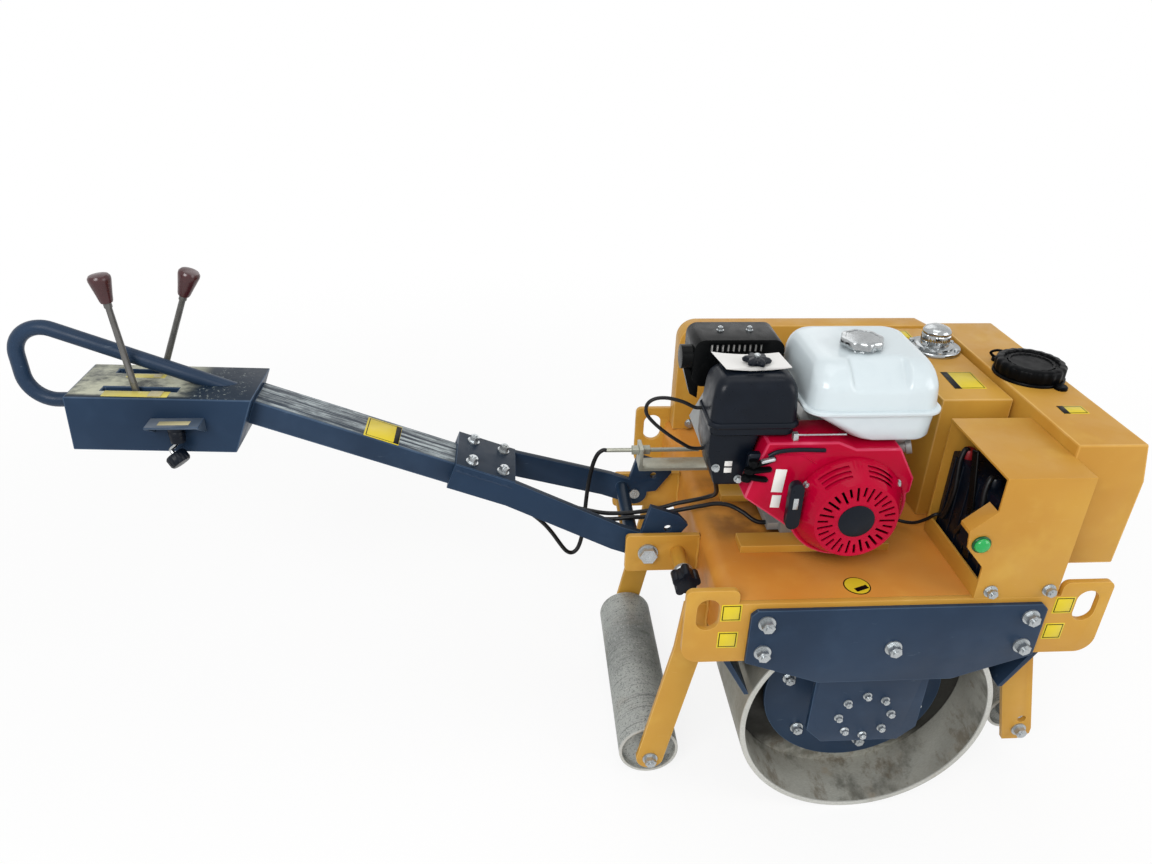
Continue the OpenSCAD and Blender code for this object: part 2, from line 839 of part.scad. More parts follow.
// Muffler under its slotted heat shield, on a stub from the head, with the outlet's deflector
module muffler() {
    x0 = -crank_x - 242;
    y0 = cleaner_y[1] + muffler_gap;
    y1 = y0 + muffler_w;
    z0 = crank_z + 150;
    color(black) placed() {
        difference() {
            translate([0, y1, 0]) rotate([90, 0, 0]) linear_extrude(y1 - y0) {
                rounded_rect(x0, z0, x0 + muffler_l, z0 + muffler_h, muffler_r);
            }
            for (i = [0 : shield_slots - 1]) translate([x0 + 26 + i * 9, y0 - 1, z0 + muffler_h - 22]) {
                cube([4.5, 7, 14]);
            }
        }
        difference() {
            translate([x0 + 60, y0 + 10, z0 - 30]) cube([28, 50, 31]);
            cylinder_head();
        }
        translate([x0 - 18, y0 + 24, z0 + 44]) rotate([0, 90, 0]) cylinder(d = 40, h = 19);
        slab(y0 + 14, y0 + 34) polygon([
            [x0 - 18, z0 + 44], [x0 + 1, z0 - 20], [x0 + 14, z0 - 28], [x0 + 14, z0 + 1], [x0 + 1, z0 + 20]
        ]);
    }
}

module hydraulic_pump() {
    y0 = case_y + case_w;
    color("#8d8f8e") placed() {
        cross_bar(-crank_x, crank_z, 150, y0, y0 + 50);
        translate([-crank_x - 45, y0 + 50, crank_z - 45]) cube([90, 110, 90]);
        cross_bar(-crank_x, crank_z, 30, y0 + 159, guard_in);
    }
}

guard_end = 10;

// Side view of the belt guard, drawn smaller by an inset for its hollow
module guard_outline(inset) {
    x0 = -wall_x + guard_end + inset;
    x1 = -wall_x + guard_end + guard_l - inset;
    z0 = deck_z + inset;
    z1 = deck_z + guard_h - inset;
    r = guard_r - inset;
    difference() {
        union() {
            translate([x0, z0]) square([x1 - x0, z1 - z0 - r]);
            translate([x0 + r, z0]) square([x1 - x0 - r, z1 - z0]);
            translate([x0 + r, z1 - r]) circle(r);
        }
        polygon([
            [x1 - guard_cut, z1], [x1 + 1, z1 - guard_cut / 2], [x1 + 1, z1 + 1], [x1 - guard_cut, z1 + 1]
        ]);
    }
}

module belt_guard() {
    color(yellow) placed() difference() {
        slab(guard_in, guard_out) guard_outline(0);
        slab(guard_in + sheet_t, guard_out - sheet_t) guard_outline(sheet_t);
    }
}

guard_out = frame_in - 2;
guard_in = guard_out - guard_t;
oil_x = water_x - oil_gap - oil_l;
oil_y = guard_in - oil_back - oil_w;

module hydraulic_tank() {
    hollow = [oil_l, oil_w, oil_h] - 2 * sheet_t * [1, 1, 1];
    color(yellow) placed() translate([oil_x, oil_y, deck_z]) difference() {
        cube([oil_l, oil_w, oil_h]);
        translate(sheet_t * [1, 1, 1]) cube(hollow);
    }
}

oil_flange_d = 100;
oil_cap_d = 54;
oil_cap_h = 50;

// Breather cap on its bolted flange
module hydraulic_cap() {
    color("silver") placed() translate([oil_x + oil_l - 48, oil_y + 220, deck_z + oil_h]) {
        cylinder(d = oil_flange_d, h = 8);
        cylinder(d = oil_cap_d, h = oil_cap_h);
    }
}

water_y = water_w / 2;
water_z = deck_z + shelf_h;

module water_tank_shelf() {
    top = deck_z + shelf_h;
    color(yellow) placed() for (y = [-190, 180]) slab(y, y + 10) polygon([
        [wall_x, side_z + 50], [water_far - 10, top - 20], [water_far - 10, top], [wall_x, top]
    ]);
}

module water_outline(inset) {
    x0 = water_x + inset;
    x1 = water_far - inset;
    z0 = water_z + inset;
    z1 = water_z + water_h - inset;
    polygon([
        [x0, z0], [x1 - 3, z0], [x1, z1 - water_h * 0.3], [x1 - water_lean, z1], [x0, z1]
    ]);
}

module water_tank() {
    color(yellow) placed() difference() {
        slab(-water_y, water_y) water_outline(0);
        slab(-water_y + sheet_t, water_y - sheet_t) water_outline(sheet_t);
    }
}

module water_cap() {
    color(black) placed() translate([water_x + water_l / 2, 4, water_z + water_h]) {
        cylinder(d = water_cap_d + 3, h = 5);
        translate([0, 0, 4]) cylinder(d = water_cap_d, h = 23);
    }
}

cover_x = water_x - cover_gap - cover_l;
cover_w = frame_out + oil_y - cover_back;
tab_flange = 30;
sill_h = 34;
battery_gap = 10;

// Battery cover, open on its left but for a sill, with a flanged tab for the start switch
module battery_cover() {
    color(yellow) placed() {
        translate([cover_x, -frame_out, deck_z]) difference() {
            cube([cover_l, cover_w, cover_h]);
            translate([-1, cover_t, -1]) {
                cube([cover_l - cover_t + 1, cover_w - 2 * cover_t, cover_h - cover_t + 1]);
            }
        }
        slab(-frame_out, -frame_out + cover_t) translate([cover_x, deck_z]) polygon([
            [1, 61], [0, 61], [-33, 99], [-37, 131], [0, 165], [1, 165]
        ]);
        slab(-frame_out, -frame_out + tab_flange) translate([cover_x, deck_z]) polygon([
            [-37, 131], [0, 165], [0, 165 - 1.5 * cover_t], [-37, 131 - 1.5 * cover_t]
        ]);
        translate([cover_x, -frame_out, deck_z]) cube([cover_t, cover_w, sill_h]);
    }
}

module battery() {
    color(black) placed() translate([cover_x + battery_gap, -frame_out + cover_t + battery_gap, deck_z]) {
        cube([cover_l - cover_t - 2 * battery_gap, cover_w - 2 * (cover_t + battery_gap), cover_h - 54]);
    }
}

module start_switch() {
    color(black) placed() translate([cover_x - 14, -frame_out, deck_z + 107]) {
        translate([-13, cover_t, -20]) cube([26, 40, 46]);
        rotate([90, 0, 0]) cylinder(d = 30, h = 4);
        translate([0, -3, 0]) rotate([90, 0, 0]) cylinder(d = 22, h = 4);
    }
}

bracket_x = -crank_x - 296;
bracket_z = deck_z + 42;
rod_z = deck_z + 74;
rod_y = 45;
rod_end = [bracket_x - 66, rod_y, rod_z];

// Flat bar from the crankcase with its bent-up end, nut and cable ferrule
module throttle_bracket() {
    color(steel) placed() {
        translate([bracket_x, rod_y - 25, bracket_z]) cube([-bracket_x - crank_x - case_l / 2, 40, 6]);
        translate([bracket_x - 6, rod_y - 25, bracket_z]) cube([7, 40, 46]);
        translate([bracket_x - 18, rod_y, rod_z]) rotate([0, 90, 0]) cylinder(d = 20, h = 34, $fn = 6);
        rod(rod_end, [bracket_x + 110, rod_y, rod_z], 8);
    }
}

cable_d = 8;
lead_d = 6;
cable_sides = 8;
cover_low = crank_z + 22;

// Routes of the cables in the drawing made about the drum
throttle_route = [
    rod_end, rod_end - [7, 0, 0], [-457, 45, 572], [-464, 44, 556], [-469, 42, 536],
    [-473, 39, 514], [-476, 36, 490], [-479, 30, 460], [-482, 26, 430], [-485, 20, 402],
    [-491, 15, 382], [-498, 12, 373]
];
throttle_handle_route = [
    [-506, 10, 371], [-514, 8, 376], [-522, 6, 387], [-532, 3, 405], [-545, 0, 428],
    [-560, 0, 448], [-580, 0, 468], [-604, 0, 488], [-632, 0, 508], [-655, 0, 526], [-672, 0, 545]
];
valve_routes = [
    [
        [-330, -36, 507], [-316, -38, 513], [-296, -42, 520], [-276, -50, 530], [-264, -66, 545],
        [-260, -86, 562], [-264, -110, 585], [-272, -132, 610], [-278, -146, 628], [-280, -150, 640],
        [-280, -150, cover_low]
    ],
    [
        [-330, -50, 503], [-316, -52, 507], [-296, -56, 514], [-274, -64, 524], [-252, -76, 536],
        [-232, -92, 542], [-212, -108, 538], [-196, -120, 530], [-184, -124, 527], [-174, -124, 527]
    ]
];
valve_handle_routes = [
    [
        [-345, -36, 502], [-362, -36, 498], [-380, -36, 495], [-403, -37, 493], [-425, -36, 492],
        [-450, -34, 492], [-480, -30, 496], [-520, -26, 505],
        [-560, -22, 514], [-600, -18, 523], [-655, -16, 541]
    ],
    [
        [-345, -50, 498], [-362, -50, 494], [-380, -50, 492], [-403, -50, 492], [-425, -48, 488],
        [-450, -45, 486], [-480, -42, 490], [-520, -36, 498],
        [-560, -30, 508], [-600, -26, 519], [-652, -24, 540]
    ]
];
lead_from = case_l / 2 - crank_x;
lead_span = cover_x + battery_gap - lead_from;
// Lead from the engine to the battery: percent of the way, y and z
battery_lead = [
    [0, -90, 566], [8, -90, 566], [18, -92, 554], [29, -96, 538], [43, -104, 525], [60, -116, 519],
    [75, -130, 524], [86, -142, 540], [92, -150, 554], [100, -150, 554]
];
lead_routes = [
    [
        [-317, -150, 768], [-325, -150, 768], [-345, -150, 778], [-370, -150, 785], [-390, -150, 784],
        [-402, -149, 774], [-402, -148, 757], [-388, -146, 738], [-366, -144, 718], [-342, -142, 700],
        [-322, -140, 688], [-309, -140, 688]
    ],
    [for (p = battery_lead) [lead_from + p[0] / 100 * lead_span, p[1], p[2]]]
];

function unit(v) = v / norm(v);

// Direction of a route at one of its points
function heading(route, i) = unit(route[min(i + 1, len(route) - 1)] - route[max(i - 1, 0)]);

// Ring of points round a route at one of its points
function cable_ring(route, i, d) =
    let (way = heading(route, i), side = unit(cross(way, [0.1, 0.3, 1])), up = cross(side, way))
    [for (k = [0 : cable_sides - 1]) let (a = k * 360 / cable_sides)
        route[i] + d / 2 * (cos(a) * side + sin(a) * up)];

// Tube swept along a route
module cable(route, d) {
    last = len(route) - 1;
    n = cable_sides;
    polyhedron(
        points = [for (i = [0 : last]) each cable_ring(route, i, d)],
        faces = [
            [for (k = [0 : n - 1]) k],
            [for (k = [n - 1 : -1 : 0]) last * n + k],
            for (i = [0 : last - 1], k = [0 : n - 1]) [i * n + k, (i + 1) * n + k, i * n + (k + 1) % n],
            for (i = [0 : last - 1], k = [0 : n - 1]) [
                i * n + (k + 1) % n, (i + 1) * n + k, (i + 1) * n + (k + 1) % n
            ]
        ]
    );
}

module throttle_cable() {
    color(black) placed() cable(throttle_route, cable_d);
}

module throttle_cable_end() {
    color(black) placed() difference() {
        cable(throttle_handle_route, cable_d);
        bar_block();
    }
}

module valve_cables() {
    color(black) placed() for (route = valve_routes) cable(route, cable_d);
}

module valve_cables_end() {
    color(black) placed() for (route = valve_handle_routes) difference() {
        cable(route, cable_d);
        bar_block();
    }
}

module engine_leads() {
    color(black) placed() for (route = lead_routes) cable(route, lead_d);
}

module drum_shell() {
    color(steel) placed() {
        difference() {
            cross_bar(0, axis_z, drum_d, -drum_end, drum_end);
            both_sides() cross_bar(0, axis_z, drum_d - 2 * drum_wall, -drum_end - 1, -web_y);
            cross_bar(0, axis_z, drum_d - 2 * drum_wall, -web_y + disc_t, web_y - disc_t);
        }
    }
}

module drum_discs() {
    color(blue) placed() both_sides() difference() {
        union() {
            cross_bar(0, axis_z, disc_d, -disc_y, -disc_y + disc_t);
            cross_bar(0, axis_z, hub_d, -disc_y - hub_l, -disc_y + 1);
        }
        cross_bar(0, axis_z, axle_d + 2 * run_fit, -disc_y - hub_l - 1, -disc_y + disc_t + 1);
    }
}

module drum_buffers() {
    color(black) placed() both_sides() for (i = [0 : buffer_n - 1]) {
        a = i * 360 / buffer_n - 7;
        x = buffer_pcd / 2 * cos(a);
        z = axis_z + buffer_pcd / 2 * sin(a);
        cross_bar(x, z, buffer_d, -disc_y + disc_t, -web_y);
    }
}

// Guide roller of diameter d and width w about its own axis
module guide_roller(x, z, d, w) {
    end = w / 2;
    bore = d - 2 * roller_wall;
    inside = end - roller_recess - roller_web;
    difference() {
        cross_bar(x, z, d, -end, end);
        cross_bar(x, z, roller_axle_d + 2 * run_fit, -end - 1, end + 1);
        both_sides() cross_bar(x, z, bore, -end - 1, -end + roller_recess);
        cross_bar(x, z, bore, -inside, inside);
    }
}

module rear_roller() {
    color(steel) placed() guide_roller(-rear_roller_x, roller_r, roller_d, roller_w);
}

module front_roller() {
    color(steel) placed() guide_roller(front_roller_x, front_roller_z, front_roller_d, front_roller_w);
}

// Carries a drawing made along -X from the pivot to the handle's rest position
module on_handle() {
    translate([pivot_x, 0, pivot_z]) rotate([0, handle_tilt, 0]) children();
}

clamp_start = fork_l - clamp_l;
clamp_out = clamp_w / 2;

// One fork arm seen from above, from the pivot end to the clamp
module fork_plan() {
    spread = 60;
    polygon([
        [lug_r + 1, -fork_out], [-spread, -fork_out], [-clamp_start, -clamp_out], [-fork_l, -clamp_out],
        [-fork_l, -clamp_out + fork_t], [-clamp_start, -clamp_out + fork_t],
        [-spread, -fork_out + fork_t], [lug_r + 1, -fork_out + fork_t]
    ]);
}

// One fork arm seen from the side, with its round heel and the lock lug
module fork_side() {
    lock_at = lock_turn + handle_tilt;
    difference() {
        union() {
            circle(d = fork_depth);
            translate([-fork_l, -fork_depth / 2]) square([fork_l, fork_depth]);
            polygon([
                [-22, fork_depth / 2 - 1],
                lug_r * [cos(lock_at + 40), sin(lock_at + 40)],
                lug_r * [cos(lock_at + 3), sin(lock_at + 3)],
                lug_r * [cos(lock_at - 15), sin(lock_at - 15)],
                0.5 * lug_r * [cos(lock_at - 42), sin(lock_at - 42)],
                [0, 0]
            ]);
        }
        circle(d = pivot_d + 2 * run_fit);
        translate(lock_r * [cos(lock_at), sin(lock_at)]) circle(d = 14);
    }
}

module handle_fork() {
    color(blue) placed() on_handle() {
        both_sides() intersection() {
            translate([0, 0, -lug_r - 20]) linear_extrude(2 * lug_r + 40) fork_plan();
            slab(-fork_out - 1, 0) fork_side();
        }
        translate([-fork_l, -clamp_out + 1, bar_top]) cube([clamp_l, clamp_w - 2, clamp_t]);
        cross_bar(-cross_reach, 6, cross_d, -fork_out + fork_t - 1, fork_out - fork_t + 1);
    }
}

module box_outline() {
    polygon([
        box_corner, box_corner + [-box_slant, -box_h],
        box_corner + [-box_l - 5, box_crown - box_h], box_corner + [-box_l, box_crown]
    ]);
}

module box_block() {
    slab(-box_w / 2, box_w / 2) box_outline();
}

bar_start = clamp_start + 10;
bar_run = bar_l + 30 - bar_start;

// Solid outline of the bar, drawn smaller by a wall for its hollow
module bar_block(wall = 0) {
    on_handle() translate([-bar_start - bar_run, 0, bar_low]) rotate([90, 0, 90]) linear_extrude(bar_run) {
        translate([wall - bar_w / 2, wall]) square([bar_w - 2 * wall, bar_depth - 2 * wall]);
    }
}

module handle_bar() {
    color(blue) placed() difference() {
        bar_block();
        bar_block(bar_wall);
        box_block();
    }
}

// Lever columns: slot start from the box's end, slot length, y, foot, lean towards the operator
lever_table = [
    [49, 120, -30, 103, 4.5],
    [49, 84, 40, 114, -23]
];

module lever_slots() {
    for (v = lever_table) {
        translate([box_end_x + v[0], v[2] - slot_w / 2, box_corner[1] - slot_depth + 4]) {
            cube([v[1], slot_w, slot_depth + box_crown]);
        }
    }
}

// Hollow of the control box below its lever slots
module box_hollow() {
    drop = slot_depth + box_wall;
    slab(-box_w / 2 + box_wall, box_w / 2 - box_wall) polygon([
        box_corner + [-box_slant - box_wall, -drop],
        box_corner + [-box_slant - box_wall, box_wall - box_h + 2],
        box_corner + [-box_l + box_wall, box_crown - box_h + box_wall],
        box_corner + [-box_l + box_wall, -drop]
    ]);
}

module control_box() {
    color(blue) placed() difference() {
        box_block();
        lever_slots();
        box_hollow();
    }
}

// Part of a ring of the grip tube in the middle plane, from one angle through a sweep
module grip_bend(x, z, start, sweep) {
    translate([x, 0, z]) rotate([90, 0, 0]) rotate([0, 0, start]) {
        rotate_extrude(angle = sweep) translate([grip_r, 0]) circle(d = grip_d);
    }
}

module grip_loop() {
    top_z = grip_z + grip_r + grip_up;
    leave = 90 - grip_slope;
    start = [grip_x + grip_r * cos(leave), 0, top_z + grip_r * sin(leave)];
    down = [cos(grip_slope), 0, -sin(grip_slope)];
    run = (start[2] - box_corner[1] + 20) / sin(grip_slope);
    collar = 4;
    collar_d = grip_d + 2 * grip_collar_t;
    color(blue) placed() difference() {
        union() {
            rod([box_end_x + 10, 0, grip_z], [grip_x, 0, grip_z], grip_d);
            grip_bend(grip_x, grip_z + grip_r, 180, 90);
            rod([grip_x - grip_r, 0, grip_z + grip_r], [grip_x - grip_r, 0, top_z], grip_d);
            grip_bend(grip_x, top_z, leave, 180 - leave);
            rod(start, start + run * down, grip_d);
            translate([grip_x - grip_r, 0, top_z]) rod([0, 0, -collar], [0, 0, collar], collar_d);
            rod(start - collar * down, start + collar * down, collar_d);
        }
        box_block();
    }
}

function lever_foot(v) = [box_end_x + v[3], v[2], box_corner[1] - slot_depth + 4];
function lever_way(v) = [-sin(v[4]), 0, cos(v[4])];
lever_l = 174;

module levers() {
    color(steel) placed() for (v = lever_table) {
        difference() {
            rod(lever_foot(v) - 5 * lever_way(v), lever_foot(v) + lever_l * lever_way(v), lever_d);
            translate(lever_foot(v) - [20, 20, 20]) cube([40, 40, 20]);
        }
    }
}

module lever_knobs() {
    color("#4a1220") placed() for (v = lever_table) {
        translate(lever_foot(v) + lever_l * lever_way(v)) rotate([0, -v[4], 0]) {
            cylinder(d1 = knob_d * 0.55, d2 = knob_d, h = knob_h * 0.8);
            translate([0, 0, knob_h * 0.8 - 0.01]) cylinder(d1 = knob_d, d2 = knob_d * 0.7, h = knob_h * 0.2);
        }
    }
}

shelf_x = box_end_x + 130;
shelf_z = box_corner[1] - 34;

shelf_t = 4;
shelf_drop = 22;

// Bent shelf on the box's side, with a slanted plate at each end
module throttle_shelf() {
    color(blue) placed() translate([shelf_x, -box_w / 2, shelf_z]) {
        translate([0, -shelf_w, 0]) cube([shelf_l, shelf_w, shelf_t]);
        for (x = [0, shelf_l - shelf_t]) translate([x, 0, 0]) rotate([90, 0, 90]) linear_extrude(shelf_t) {
            polygon([[0, shelf_t], [-shelf_w, shelf_t], [-shelf_w, 0], [0, -shelf_drop]]);
        }
    }
}

module throttle_knob() {
    color(black) placed() translate([shelf_x + 44, -box_w / 2 - shelf_w / 2, shelf_z]) rotate([180, 0, 0]) {
        cylinder(d = 26, h = 22);
        cylinder(d = 8, h = 60);
        translate([0, 0, 55]) cylinder(d = 32, h = 18);
    }
}

frame_side_right();
frame_side_left();
deck();
drum_carrier_right();
drum_carrier_left();
stub_axles();
rear_roller_arms();
front_roller_arms();
roller_axles();
rear_scraper();
front_scraper();
handle_yoke();
pivot_pins();
lock_pin();
engine_rails();
engine_block();
fan_shroud();
recoil_starter();
starter_grip();
fuel_tank();
fuel_cap();
air_cleaner();
carburettor_cover();
muffler();
hydraulic_pump();
belt_guard();
hydraulic_tank();
hydraulic_cap();
water_tank_shelf();
water_tank();
water_cap();
battery_cover();
battery();
start_switch();
throttle_bracket();
throttle_cable();
valve_cables();
engine_leads();
drum_shell();
drum_discs();
drum_buffers();
rear_roller();
front_roller();
handle_fork();
handle_bar();
control_box();
grip_loop();
levers();
lever_knobs();
throttle_shelf();
throttle_knob();
throttle_cable_end();
valve_cables_end();
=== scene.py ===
"""Looks of a walk-behind vibratory roller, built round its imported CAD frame."""
import json
import math

import bmesh
import bpy
from mathutils import Matrix, Vector


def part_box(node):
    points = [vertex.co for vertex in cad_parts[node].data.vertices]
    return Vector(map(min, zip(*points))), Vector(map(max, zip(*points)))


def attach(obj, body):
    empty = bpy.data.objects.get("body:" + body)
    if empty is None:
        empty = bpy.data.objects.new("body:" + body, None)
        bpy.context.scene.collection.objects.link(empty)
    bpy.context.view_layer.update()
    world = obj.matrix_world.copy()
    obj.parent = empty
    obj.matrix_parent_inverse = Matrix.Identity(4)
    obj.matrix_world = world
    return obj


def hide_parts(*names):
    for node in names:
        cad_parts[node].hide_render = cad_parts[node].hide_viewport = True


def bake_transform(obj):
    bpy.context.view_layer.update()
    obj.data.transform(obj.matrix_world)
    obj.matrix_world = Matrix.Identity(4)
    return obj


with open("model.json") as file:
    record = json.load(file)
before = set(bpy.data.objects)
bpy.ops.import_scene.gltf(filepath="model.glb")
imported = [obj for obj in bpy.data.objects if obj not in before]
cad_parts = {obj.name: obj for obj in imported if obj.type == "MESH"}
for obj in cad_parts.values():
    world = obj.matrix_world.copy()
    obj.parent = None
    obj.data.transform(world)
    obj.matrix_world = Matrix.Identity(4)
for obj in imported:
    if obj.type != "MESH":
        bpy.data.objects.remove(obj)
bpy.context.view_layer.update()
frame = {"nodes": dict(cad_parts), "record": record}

NODES = frame["nodes"]
BODY = {n: b for b, names in frame["record"]["behaviour"]["bodies"].items() for n in names}
SLOT = {p["node"]: p["material_slot"] for p in frame["record"]["subparts"]}
MM = 0.001
TILT = math.radians(21)  # rise of the handle at rest
drum_low, drum_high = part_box("drum_shell")
DRUM_X = (drum_low.x + drum_high.x) / 2
PIVOT_X, PIVOT_Z = -377, 458


def at(x, y, z):
    """Point in millimetres about the drum's axis on the floor, as metres of the CAD frame."""
    return Vector((DRUM_X + x * MM, y * MM, z * MM))


def on_bar(u, y, w):
    """Point of the handle: u from the pivot along the bar, w above the pivot line, in millimetres."""
    return at(PIVOT_X - u * math.cos(TILT) + w * math.sin(TILT), y,
              PIVOT_Z + u * math.sin(TILT) + w * math.cos(TILT))


BAR_UP = Vector((math.sin(TILT), 0, math.cos(TILT)))
BAR_BACK = Vector((-math.cos(TILT), 0, math.sin(TILT)))
UP, RIGHT = Vector((0, 0, 1)), Vector((1, 0, 0))
NEAR, AWAY = Vector((0, -1, 0)), Vector((0, 1, 0))
AXLE_Z = 225  # height of the drum's axis
BOX_END_X, BOX_TOP_Z = -1337.586, 744.174  # control box: rear end, and top at its front end
BOX_LENGTH, BOX_FALL = 296, 10  # its top falls towards the front end
STARTER_X, STARTER_Z = -79, 626  # axis of the starter
FACE_Y = -225  # front of the shroud


def new_object(name, data):
    item = bpy.data.objects.new(name, data)
    bpy.context.scene.collection.objects.link(item)
    return item


# Camera, fitted to the photograph
YAW, PITCH, ROLL = 0.07709, 0.49688, -0.02555
FOCAL_PX, WIDTH_PX, SENSOR = 880.19764, 1152, 36.0
EYE_MM = (-609.709, -1385.027, 1397.530)


def add_camera():
    ahead = Vector((math.sin(YAW) * math.cos(PITCH), math.cos(YAW) * math.cos(PITCH), -math.sin(PITCH)))
    right = Vector((math.cos(YAW), -math.sin(YAW), 0))
    down = ahead.cross(right)
    right_rolled = math.cos(ROLL) * right + math.sin(ROLL) * down
    down_rolled = -math.sin(ROLL) * right + math.cos(ROLL) * down
    data = bpy.data.cameras.new("camera")
    data.sensor_fit, data.sensor_width = "HORIZONTAL", SENSOR
    data.lens = FOCAL_PX * SENSOR / WIDTH_PX
    camera = new_object("camera", data)
    turn = Matrix((right_rolled, -down_rolled, -ahead)).transposed()
    camera.matrix_world = Matrix.Translation(at(*EYE_MM)) @ turn.to_4x4()
    bpy.context.scene.camera = camera


add_camera()


# Materials
def srgb(code):
    """Linear colour of an sRGB hex code."""
    parts = [int(code[i:i + 2], 16) / 255 for i in (1, 3, 5)]
    return [c / 12.92 if c <= 0.04045 else ((c + 0.055) / 1.055) ** 2.4 for c in parts] + [1.0]


def add(tree, kind, props=None, out=0, **inputs):
    """Adds a node and gives its output; an input is a value or a socket, and _ in its name stands for a space."""
    node = tree.nodes.new(kind)
    for key, value in (props or {}).items():
        setattr(node, key, value)
    for key, value in inputs.items():
        name = key.replace("_", " ")
        socket = node.inputs[int(name[1:])] if name[0] == "i" and name[1:].isdigit() else node.inputs[name]
        if isinstance(value, bpy.types.NodeSocket):
            tree.links.new(value, socket)
        else:
            socket.default_value = value
    return node.outputs[out]


def new_material(name, **inputs):
    """Material with a Principled shader whose constants are set directly."""
    mat = bpy.data.materials.new(name)
    mat.use_nodes = True
    bsdf = next(n for n in mat.node_tree.nodes if n.type == "BSDF_PRINCIPLED")
    for key, value in inputs.items():
        bsdf.inputs[key.replace("_", " ")].default_value = value
    return mat, mat.node_tree, bsdf


def here(tree):
    return add(tree, "ShaderNodeTexCoord", out="Object")


def noise(tree, size_mm, stretch=(1, 1, 1), detail=3.0, rough=0.55, where=None):
    """Noise whose blotches are about size_mm across, in object coordinates or those given."""
    where = here(tree) if where is None else where
    scaled = add(tree, "ShaderNodeMapping", Vector=where, Scale=stretch)
    return add(tree, "ShaderNodeTexNoise", Vector=scaled, Scale=1 / (size_mm * MM), Detail=detail, Roughness=rough)


def step(tree, value, low, high, out_low=0.0, out_high=1.0):
    return add(tree, "ShaderNodeMapRange", {"interpolation_type": "SMOOTHSTEP"}, Value=value,
               From_Min=low, From_Max=high, To_Min=out_low, To_Max=out_high)


def blend_colour(tree, factor, a, b):
    """Mix of two colours, each a hex code or the socket that feeds it."""
    a, b = (srgb(c) if isinstance(c, str) else c for c in (a, b))
    return add(tree, "ShaderNodeMix", {"data_type": "RGBA"}, out=2, i0=factor, i6=a, i7=b)


def reckon(tree, kind, a, b):
    return add(tree, "ShaderNodeMath", {"operation": kind}, i0=a, i1=b)


def times(tree, product, *factors):
    for factor in factors:
        product = reckon(tree, "MULTIPLY", product, factor)
    return product


def mottle(tree, under, over, size_mm, low, high, share=1.0, least=0.0, **kind):
    """Lays one colour over another in blotches of noise: the least share below low, the full one above high."""
    return blend_colour(tree, step(tree, noise(tree, size_mm, **kind), low, high, least, share), under, over)


def upward(tree):
    """1 on faces that look up, 0 on walls."""
    normal = add(tree, "ShaderNodeNewGeometry", out="Normal")
    return step(tree, add(tree, "ShaderNodeSeparateXYZ", out=2, Vector=normal), 0.55, 0.95)


def bump(tree, bsdf, height, strength, depth_mm):
    normal = add(tree, "ShaderNodeBump", Height=height, Strength=strength, Distance=depth_mm * MM)
    tree.links.new(normal, bsdf.inputs["Normal"])


def coat(tree, bsdf, colour, patch_mm, low, high, detail=3.0):
    """Feeds the colour, and a roughness that drifts between two values."""
    tree.links.new(colour, bsdf.inputs["Base Color"])
    gloss = step(tree, noise(tree, patch_mm, detail=detail), 0.3, 0.7, low, high)
    tree.links.new(gloss, bsdf.inputs["Roughness"])


def within(tree, axis, low, high, soft):
    """1 between two places along an object axis, in millimetres of the drum's frame, with soft ends."""
    along = add(tree, "ShaderNodeSeparateXYZ", out=axis, Vector=here(tree))
    shift = DRUM_X if axis == 0 else 0.0
    low, high, soft = shift + low * MM, shift + high * MM, soft * MM
    return times(tree, step(tree, along, low - soft, low), step(tree, along, high, high + soft, 1, 0))


def worn_paint(name, base, deep, pale, dust, dust_share, scuff, scuff_share, rough, shine=0.3, extra=None):
    """Sprayed paint: tone drifts over a hand's width, dust lies on top faces, short scuffs show."""
    mat, tree, bsdf = new_material(name, Specular_IOR_Level=shine)
    colour = mottle(tree, deep, base, 260, 0.3, 0.7)
    colour = mottle(tree, colour, pale, 70, 0.5, 0.8, 0.5)
    settled = times(tree, upward(tree), step(tree, noise(tree, 120, detail=6), 0.35, 0.75, 0, dust_share))
    colour = blend_colour(tree, settled, colour, dust)
    colour = mottle(tree, colour, scuff, 26, 0.64, 0.72, scuff_share, stretch=(0.35, 1.6, 1.6), detail=8, rough=0.7)
    if extra:
        colour = extra(tree, colour)
    coat(tree, bsdf, colour, 45, rough - 0.06, rough + 0.1)
    bump(tree, bsdf, noise(tree, 2.5, detail=2), 0.12, 0.15)
    return mat


def painted_shade_on_top(tree, colour):
    """Painted shade: darkens the upward faces of the blue paint, whose glossy top shows darker than its walls."""
    return blend_colour(tree, times(tree, upward(tree), 0.65), colour, "#0d1922")


def dust_and_top_shade(tree, colour):
    """Cream builder's dust caught on the control box round its lever slots, and specks in front of them, laid over
    painted shade that darkens the top.
    """
    patch = times(tree, within(tree, 0, -1345, -1175, 45), within(tree, 1, -48, 70, 12), upward(tree),
                  step(tree, noise(tree, 46, (0.8, 1.2, 1), 9, 0.68), 0.34, 0.6, 0.1, 0.95))
    colour = blend_colour(tree, patch, painted_shade_on_top(tree, colour), "#c6c7b1")
    specks = times(tree, upward(tree), step(tree, noise(tree, 7, detail=9, rough=0.8), 0.57, 0.64, 0, 0.75),
                   within(tree, 0, -1230, -1080, 40))
    return blend_colour(tree, specks, colour, "#a3aca8")


